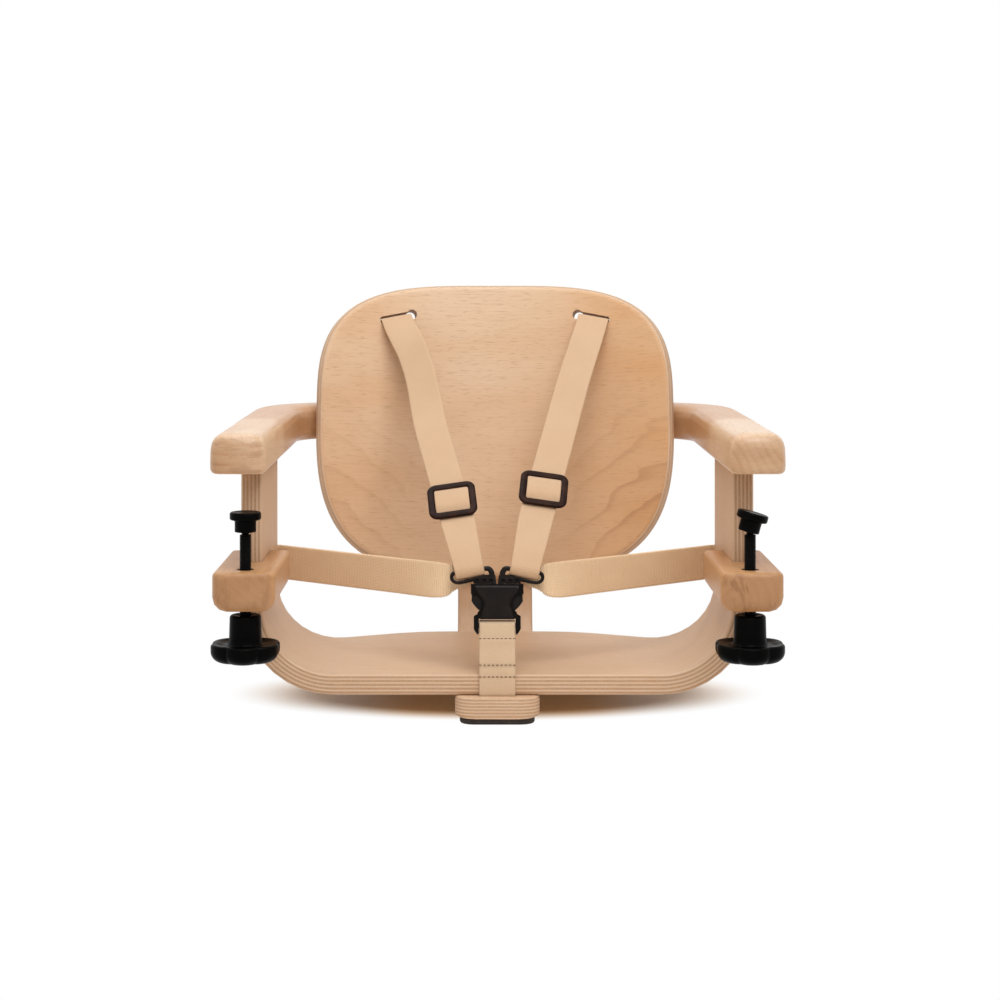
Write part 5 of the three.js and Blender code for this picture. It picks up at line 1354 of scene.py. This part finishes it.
def shoulder_webbing(curl):
    """Right shoulder webbing, from its end behind the backrest to its sewn end; curled below its slot."""
    along, down, out = slot_axes()
    shift = along * SLOT_SHIFT - down * SLOT_RISE

    def curled(run):
        return curl * eased(run / CURL_GROWS) * (1 - eased((run - CURL_HOLDS) / CURL_FADES))

    def strung(run):
        aside = along * (CURL_SHIFT * curled(run))
        return slot_floor(-LIE) + SHOULDER_FALL * run + shift * (1 - eased(run / SLOT_EASE)) - aside

    knee = strung(SHOULDER_RUN)
    behind = slot_floor(BACK_PLY + LIE) + shift
    to_bar = unit(SHOULDER_BAR - knee)
    upper = unit(np.cross(to_bar, SHOULDER_WIDTH))
    upper = upper if upper[2] > 0 else -upper
    turn = round_bar(SHOULDER_BAR, upper, to_bar, SHOULDER_LOOP)
    tail = turn[-1] - to_bar * STRAP_TAIL + upper * SHOULDER_LOOP
    path = rounded_path([behind + down * REAR_LEG, behind, strung(0), strung(STRAP_WIDTH / 2)], STRAP_TURN)
    path += [strung(run) for run in np.linspace(STRAP_WIDTH * 0.6, SHOULDER_RUN * 0.7, 40)]
    path += rounded_path([path[-1], knee, turn[0]], STRAP_WIDTH * 2)[1:]
    path += turn[1:] + [tail]
    across, width, crease = [], [], []
    for place in path:
        twist = eased((np.dot(place - SLOT_CENTRE, out) - STRAP_TURN) / SLOT_TWIST)
        facing = along + (SHOULDER_WIDTH - along) * twist
        run = np.dot(place - slot_floor(-LIE), SHOULDER_FALL)
        across.append(np.array(Matrix.Rotation(-curled(run), 3, Vector(SHOULDER_FALL))) @ facing)
        away = eased(-np.dot(place - SHOULDER_BAR, to_bar) / GATHER_LENGTH)
        width.append(SHOULDER_GATHER + (STRAP_WIDTH - SHOULDER_GATHER) * away)
        crease.append(1 + GATHER_CREASE * (1 - away))
    width[-1] = HIDDEN_END
    return webbing(path, across, width, SMOOTH_RIB, SMOOTH_WEFT, crease=crease)


def lap_webbing():
    """Right lap webbing: screwed outside the upright, gathered and sewn down behind the buckle half."""
    outside = SEAT_HALF_WIDTH + LIE
    inside = SEAT_HALF_WIDTH - SEAT_PLY - LIE
    behind = UPRIGHT_REAR + LIE + STRAP_GAP
    middle = (LAP_EDGES[-1][1] + LAP_EDGES[-1][2]) / 2
    bend = in_buckle(LAP_BEND, middle, -LAP_RUN_DEPTH)
    corner = np.array([inside, behind, LAP_HEIGHT])
    halfway = (corner + bend) / 2
    path = rounded_path([
        np.array([outside, UPRIGHT_REAR - LAP_END, LAP_HEIGHT]),
        np.array([outside, behind, LAP_HEIGHT]),
        corner,
        halfway,
    ], STRAP_TURN)
    path += [halfway + (bend - halfway) * t for t in np.linspace(0.05, 0.6, 12)]
    end = in_buckle(LAP_EDGES[0][0], middle, -LAP_RUN_DEPTH)
    path += rounded_path([path[-1], bend, end], STRAP_WIDTH)[1:]
    path[-1:] = [path[-2] + (path[-1] - path[-2]) * t for t in np.linspace(0.1, 1, 12)]
    across, width = [], []
    places, tops, lows = zip(*LAP_EDGES)
    near_lean, far_lean = LAP_LEANS
    for i, place in enumerate(path):
        near = eased((far_lean - place[0]) / (far_lean - near_lean))
        across.append(UPWARD + (UP_THE_BUCKLE - UPWARD) * near)
        top, low = np.interp(place[0], places, tops), np.interp(place[0], places, lows)
        width.append(top - low)
        path[i] = place + UP_THE_BUCKLE * ((top + low) / 2 - middle)
    return webbing(path, across, width, RIB, RIBBED_WEFT, pleat=LAP_PLEAT)


def crotch_path():
    """Crotch webbing, from its sewn end at the buckle's bar to its end clamped under the seat."""
    bar = in_buckle(0, -BUCKLE_BAR_DROP)
    front = SEAT_FRONT - LIE
    under = SEAT_UNDERSIDE - GLUE_LINE - LIE
    radius = BUCKLE_BAR_RADIUS + LIE
    turn = round_bar(bar, -OUT_OF_BUCKLE, UP_THE_BUCKLE, radius)
    edge = np.array([0, front, SEAT_UNDERSIDE + SEAT_PLY + PLY_EDGE_ROUND])
    tail = turn[0] * (1 - CROTCH_TAIL) + edge * CROTCH_TAIL - OUT_OF_BUCKLE * (STRAP + STRAP_GAP)
    return [tail] + turn + rounded_path([
        turn[-1] * 0.9 + edge * 0.1,
        edge,
        np.array([0, front, under]),
        np.array([0, SEAT_FRONT + CROTCH_END, under]),
    ], STRAP_TURN)


def strap_piece(name, mesh, material, node):
    """A strap that stands for its CAD node."""
    mesh.materials.clear()
    mesh.materials.append(material)
    made = shown(name, mesh)
    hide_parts(node)
    return made


def harness():
    lap, lap_length = lap_webbing()
    for side, mirror in SIDES.items():
        shoulder, shoulder_length = shoulder_webbing(CURL[side])
        shoulder = on_side(shoulder, side)
        strap = strap_piece(f"{side}_shoulder_webbing", shoulder, SMOOTH_WEBBING, f"{side}_shoulder_strap")
        low = slot_floor(-LIE) + SHOULDER_FALL * (ADJUSTER_DROP[side] + STRAP_FREE_BELOW)
        tuple(low * mirror)
        tuple(SHOULDER_BAR * mirror)
        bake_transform(strap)
        strap = strap_piece(f"{side}_lap_webbing", on_side(lap, side), RIBBED_WEBBING, f"{side}_lap_strap")
        tuple(LAP_HELD * mirror)
        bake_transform(strap)
    path = crotch_path()
    crotch, crotch_length = webbing(path, [SIDEWAYS] * len(path), [STRAP_WIDTH] * len(path),
                                    SMOOTH_RIB, SMOOTH_WEFT, CROTCH_STEP)
    strap = piece("crotch_webbing", crotch, CROTCH_LIT_WEBBING, "crotch_strap")
    crotch_stitches(np.array(path))


def crotch_stitches(path):
    """Sewn rows across the front of the crotch webbing."""
    lowest = len(path) - 1 - np.argmax(path[::-1, 2] > STITCH_ROWS[-1] - STITCH_MARGIN)
    front = path[BAR_STEPS + 2:lowest + 1]
    order = front[:, 2].argsort()
    points, edges = [], []
    for height in STITCH_ROWS:
        y = np.interp(height, front[order, 2], front[order, 1]) - STRAP / 2 - STITCH_LIFT
        edges.append((len(points), len(points) + 1))
        points += [(-STITCH_ROW_HALF, y, height), (STITCH_ROW_HALF, y, height)]
    rows = bpy.data.meshes.new("rows")
    rows.from_pydata(points, edges, [])
    sewn = grown(STITCHES, rows, **STITCH)
    piece("crotch_stitches", sewn, SEWING_THREAD, body="chair", slot="webbing")


# Buckle

def plate_in_buckle(name, outline, low, high):
    """Straight-sided plate over an outline of u and v, between two heights w."""
    return mesh_of(name, *loft([[in_buckle(u, v, w) for u, v in outline] for w in (low, high)]))


def pocket_cutters():
    """Three small round pockets in the front of a buckle half."""
    floor = PRONG_THICKNESS / 2 - POCKET_DEPTH
    cutters = []
    for middle in POCKET_PLACES:
        outline = [(middle + POCKET * math.cos(a), POCKET_HEIGHT + POCKET * math.sin(a))
                   for a in circle(POCKET_STEPS)]
        cutters.append(plate_in_buckle("pocket", outline, floor, PRONG_THICKNESS))
    return cutters


def pocket_rim(middle):
    """Raised rim round a pocket."""
    rings = []
    for t in circle(RIM_TURNS):
        ring = []
        for a in circle(RIM_STEPS):
            radius = POCKET + RIM + RIM * math.cos(a)
            ring.append(in_buckle(middle + radius * math.cos(t), POCKET_HEIGHT + radius * math.sin(t),
                                  PRONG_THICKNESS / 2 + RIM * math.sin(a)))
        rings.append(ring)
    return mesh_of("rim", *loft(rings + rings[:1], closed=False))


def prong_frame():
    """Curled frame of a buckle half: up its hook, over its hidden bar, round its tip and back."""
    knots = np.array(PRONG_FRAME)
    marks = travelled(knots[:, :2])
    path = rounded_path([np.array([u, v, 0]) for u, v, _ in PRONG_FRAME], PRONG_FRAME_BEND, 8)
    travel = travelled(np.array(path))
    halves = np.interp(travel / travel[-1], marks / marks[-1], knots[:, 2])
    rings = []
    for place, way, half in zip(path, np.gradient(np.array(path), axis=0), halves):
        way = unit(way)
        ring = []
        for a in circle(PRONG_FRAME_STEPS):
            side = superround(math.cos(a), PRONG_FRAME_SECTION) * half
            rise = superround(math.sin(a), PRONG_FRAME_SECTION) * PRONG_THICKNESS / 2
            ring.append(in_buckle(place[0] - way[1] * side, place[1] + way[0] * side, rise))
        rings.append(ring)
    return mesh_of("frame", *loft(rings))


def buckle_half():
    """Right-hand half: its tongue and pocketed plate from the CAD node, with the curled frame."""
    far = PRONG_PLATE_TOP[-1][0]
    near = PRONG_PLATE_OUTER
    beyond = plate_in_buckle("beyond", [(near, -far), (far, -far), (far, far), (near, far)],
                             -PRONG_THICKNESS, PRONG_THICKNESS)
    above = plate_in_buckle("above", [*PRONG_PLATE_TOP, (far, far), (-far, far)],
                            -PRONG_THICKNESS, PRONG_THICKNESS)
    plate = less(copy_of("right_buckle_prong", MOULDED_ROUND, 3), beyond, above)
    return less(joined(plate, prong_frame()), *pocket_cutters())


def buckle_face():
    """Raised panel with a waist on the front of the buckle housing."""
    half = rounded_path([np.array([u, v, 0]) for u, v in BUCKLE_FACE], BUCKLE_FACE_BEND, 6)
    outline = half + [p * MIRROR for p in reversed(half)]
    middle = sum(outline) / len(outline)
    rings = []
    for inset, rise in BUCKLE_FACE_ROWS:
        drawn = [p - unit(p - middle) * inset for p in outline]
        rings.append([in_buckle(p[0], p[1], BUCKLE_THICKNESS / 2 + rise) for p in drawn])
    return mesh_of("face", *loft(rings))


def buckle():
    # The housing is painted darker than its raised face: painted shade in its recesses.
    housing = smooth(copy_of("buckle_body", MOULDED_ROUND, 3), 40)
    piece("buckle_housing", housing, SHADED_HOUSING_PLASTIC, "buckle_body")
    piece("buckle_face", smooth(buckle_face(), 40), BUCKLE_PLASTIC, body="chair", slot="black_plastic")
    half = smooth(buckle_half(), 40)
    rims = [pocket_rim(middle) for middle in POCKET_PLACES]
    for side in SIDES:
        piece(f"{side}_buckle_half", on_side(half, side), BUCKLE_PLASTIC, f"{side}_buckle_prong")
        for number, rim in enumerate(rims, 1):
            piece(f"{side}_pocket_rim_{number}", smooth(on_side(rim, side), 60), BUCKLE_PLASTIC,
                  body=f"{side}_prong", slot="black_plastic")
        arm = smooth(copy_of(f"{side}_latch_arm", LATCH_ROUND), 40)
        piece(f"{side}_latch", arm, BUCKLE_PLASTIC, f"{side}_latch_arm")


# Strap adjusters

def adjuster_axes():
    """Across, along and out of the right-hand adjuster, which hangs less slanted than its strap."""
    along = -SHOULDER_FALL
    across = unit(SHOULDER_WIDTH - along * np.dot(SHOULDER_WIDTH, along))
    out = np.cross(across, along)
    turn = np.array(Matrix.Rotation(ADJUSTER_SKEW, 3, Vector(out)))
    return turn @ across, turn @ along, out


def adjuster_mesh(place, across, along, out):
    """Slide frame: a rounded front ring, two rails and the rear bar that the webbing bends round."""
    wide = ADJUSTER_WIDTH / 2 - ADJUSTER_RAIL / 2
    tall = ADJUSTER_HEIGHT / 2 - ADJUSTER_RAIL / 2
    beside = wide + (ADJUSTER_RAIL - ADJUSTER_SIDE) / 2 - ADJUSTER_INSET
    middle = LIE + ADJUSTER_FRONT / 2
    rings = []
    for turn in np.linspace(0, 2 * math.pi, ADJUSTER_STEPS):
        spread = superround(math.cos(turn), ADJUSTER_SECTION) * ADJUSTER_RAIL / 2
        height = middle + superround(math.sin(turn), ADJUSTER_SECTION) * ADJUSTER_FRONT / 2
        outline = rounded_outline(2 * (wide + spread), 2 * (tall + spread), ADJUSTER_ROUND + spread)
        rings.append([place + across * a + along * b + out * height for a, b in outline])
    parts = [loft(rings, closed=False)]
    outline = rounded_outline(ADJUSTER_SIDE, ADJUSTER_BAR * 2, ADJUSTER_SIDE / 3)
    for side in (-1, 1):
        rings = [[place + across * (side * beside + a) + along * b + out * w for a, b in outline]
                 for w in (-LIE - ADJUSTER_FRONT, middle)]
        parts.append(loft(rings))
    outline = rounded_outline(ADJUSTER_BAR, ADJUSTER_FRONT, ADJUSTER_FRONT / 2.5)
    rings = [[place + across * a + along * v + out * (w - middle) for v, w in outline]
             for a in (-beside, beside)]
    parts.append(loft(rings))
    points, faces = [], []
    for some_points, some_faces in parts:
        faces += [tuple(i + len(points) for i in face) for face in some_faces]
        points += some_points
    return mesh_of("slide", points, faces)


def adjusters():
    """Slide frames, each with the fold of webbing that bulges out of its window."""
    across, along, out = adjuster_axes()
    for side in SIDES:
        place = slot_floor(-LIE) + SHOULDER_FALL * ADJUSTER_DROP[side]
        slide = on_side(adjuster_mesh(place, across, along, out), side)
        path = rounded_path([place + along * v + out * w for v, w in FOLD_PROFILE], FOLD_BEND)
        fold, _ = webbing(path, [across] * len(path), [STRAP_WIDTH] * len(path), FOLD_RIB, SMOOTH_WEFT)
        fold = on_side(fold, side)
        piece(f"{side}_adjuster_frame", smooth(slide, 50), ADJUSTER_PLASTIC, f"{side}_strap_adjuster")
        piece(f"{side}_adjuster_fold", fold, SMOOTH_WEBBING, body=f"{side}_adjuster", slot="webbing")


# Stage

def seen_directly(tree):
    """1 on rays from the camera, and on those that reach it over gloss or through glass."""
    outputs = tree.node("ShaderNodeLightPath").socket.node.outputs
    rays = [Value(tree, outputs[f"Is {ray} Ray"]) for ray in ("Camera", "Glossy", "Transmission")]
    return rays[0] + rays[1] + rays[2]


def floor_finish():
    """Matt floor, warm in the chair's shadow, that turns to plain white around it; the warm tint and the
    faint warm glow in the shadow are painted bounce light from the wood.
    """
    material = bpy.data.materials.new("white_floor")
    tree = emptied(material)
    x, y, _ = tree.place()
    off = (((x - SHADOW_CENTRE[0]) / SHADOW_REACH[0]) ** 2
           + ((y - SHADOW_CENTRE[1]) / SHADOW_REACH[1]) ** 2).math("SQRT")
    around = off.between(*SHADOW_FADE)
    warm = tree.mix(x.math("ABSOLUTE").between(*SHADOW_WARM), SHADOW_CORE, SHADOW_SIDE)
    shade = {"Base Color": tree.mix(around, warm, FLOOR_PALE), "Roughness": 1.0, "Specular IOR Level": 0.0}
    matt = tree.node("ShaderNodeBsdfPrincipled", shade)
    # Painted bounce light: a faint warm glow lightens the shadow, and around it the floor turns to plain
    # white.
    lift = FLOOR_LIFT + around * (1 - FLOOR_LIFT)
    glow = tree.mix(around, warm, WHITE)
    white = tree.node("ShaderNodeEmission", {"Color": glow, "Strength": 1.0})
    blend = tree.node("ShaderNodeMixShader", {0: lift * seen_directly(tree), 1: matt, 2: white})
    tree.node("ShaderNodeOutputMaterial", {"Surface": blend}, output=None)
    return material


def lamp(name, place, target, size, power):
    light = bpy.data.lights.new(name, "AREA")
    light.shape = "RECTANGLE"
    light.size, light.size_y = size
    light.energy = power
    made = shown(name, light)
    made.location = place
    made.rotation_euler = (Vector(target) - Vector(place)).to_track_quat("-Z", "Y").to_euler()


def stage():
    floor = bpy.data.meshes.new("floor")
    corners = [(FLOOR_REACH * x, FLOOR_REACH * y, 0) for x, y in ((-1, -1), (1, -1), (1, 1), (-1, 1))]
    floor.from_pydata(corners, [], [(0, 1, 2, 3)])
    floor.materials.append(floor_finish())
    shown("floor", floor)
    scene.world = bpy.data.worlds.new("studio")
    tree = emptied(scene.world)
    light = tree.node("ShaderNodeBackground", {"Color": WHITE, "Strength": WORLD_LIGHT})
    white = tree.node("ShaderNodeBackground", {"Color": WHITE, "Strength": 1.0})
    blend = tree.node("ShaderNodeMixShader", {0: seen_directly(tree), 1: light, 2: white})
    tree.node("ShaderNodeOutputWorld", {"Surface": blend}, output=None)
    lamp("key", place=(0.25, -0.9, 1.5), target=(0, 0.05, 0.12), size=(1.2, 0.9), power=17)
    lamp("top", place=(-0.3, 0.2, 1.7), target=(0, 0.05, 0.1), size=(1.2, 1.2), power=10)


def camera():
    view = bpy.data.cameras.new("camera")
    view.lens = LENS
    view.sensor_width = 36.0
    view.shift_x, view.shift_y = LENS_SHIFT
    made = shown("camera", view)
    made.location = CAMERA_PLACE
    made.rotation_euler = (math.pi / 2, 0, 0)
    scene.camera = made


camera()
backrest()
wooden_frame()
clamps()
screw_heads()
harness()
adjusters()
buckle()
stage()
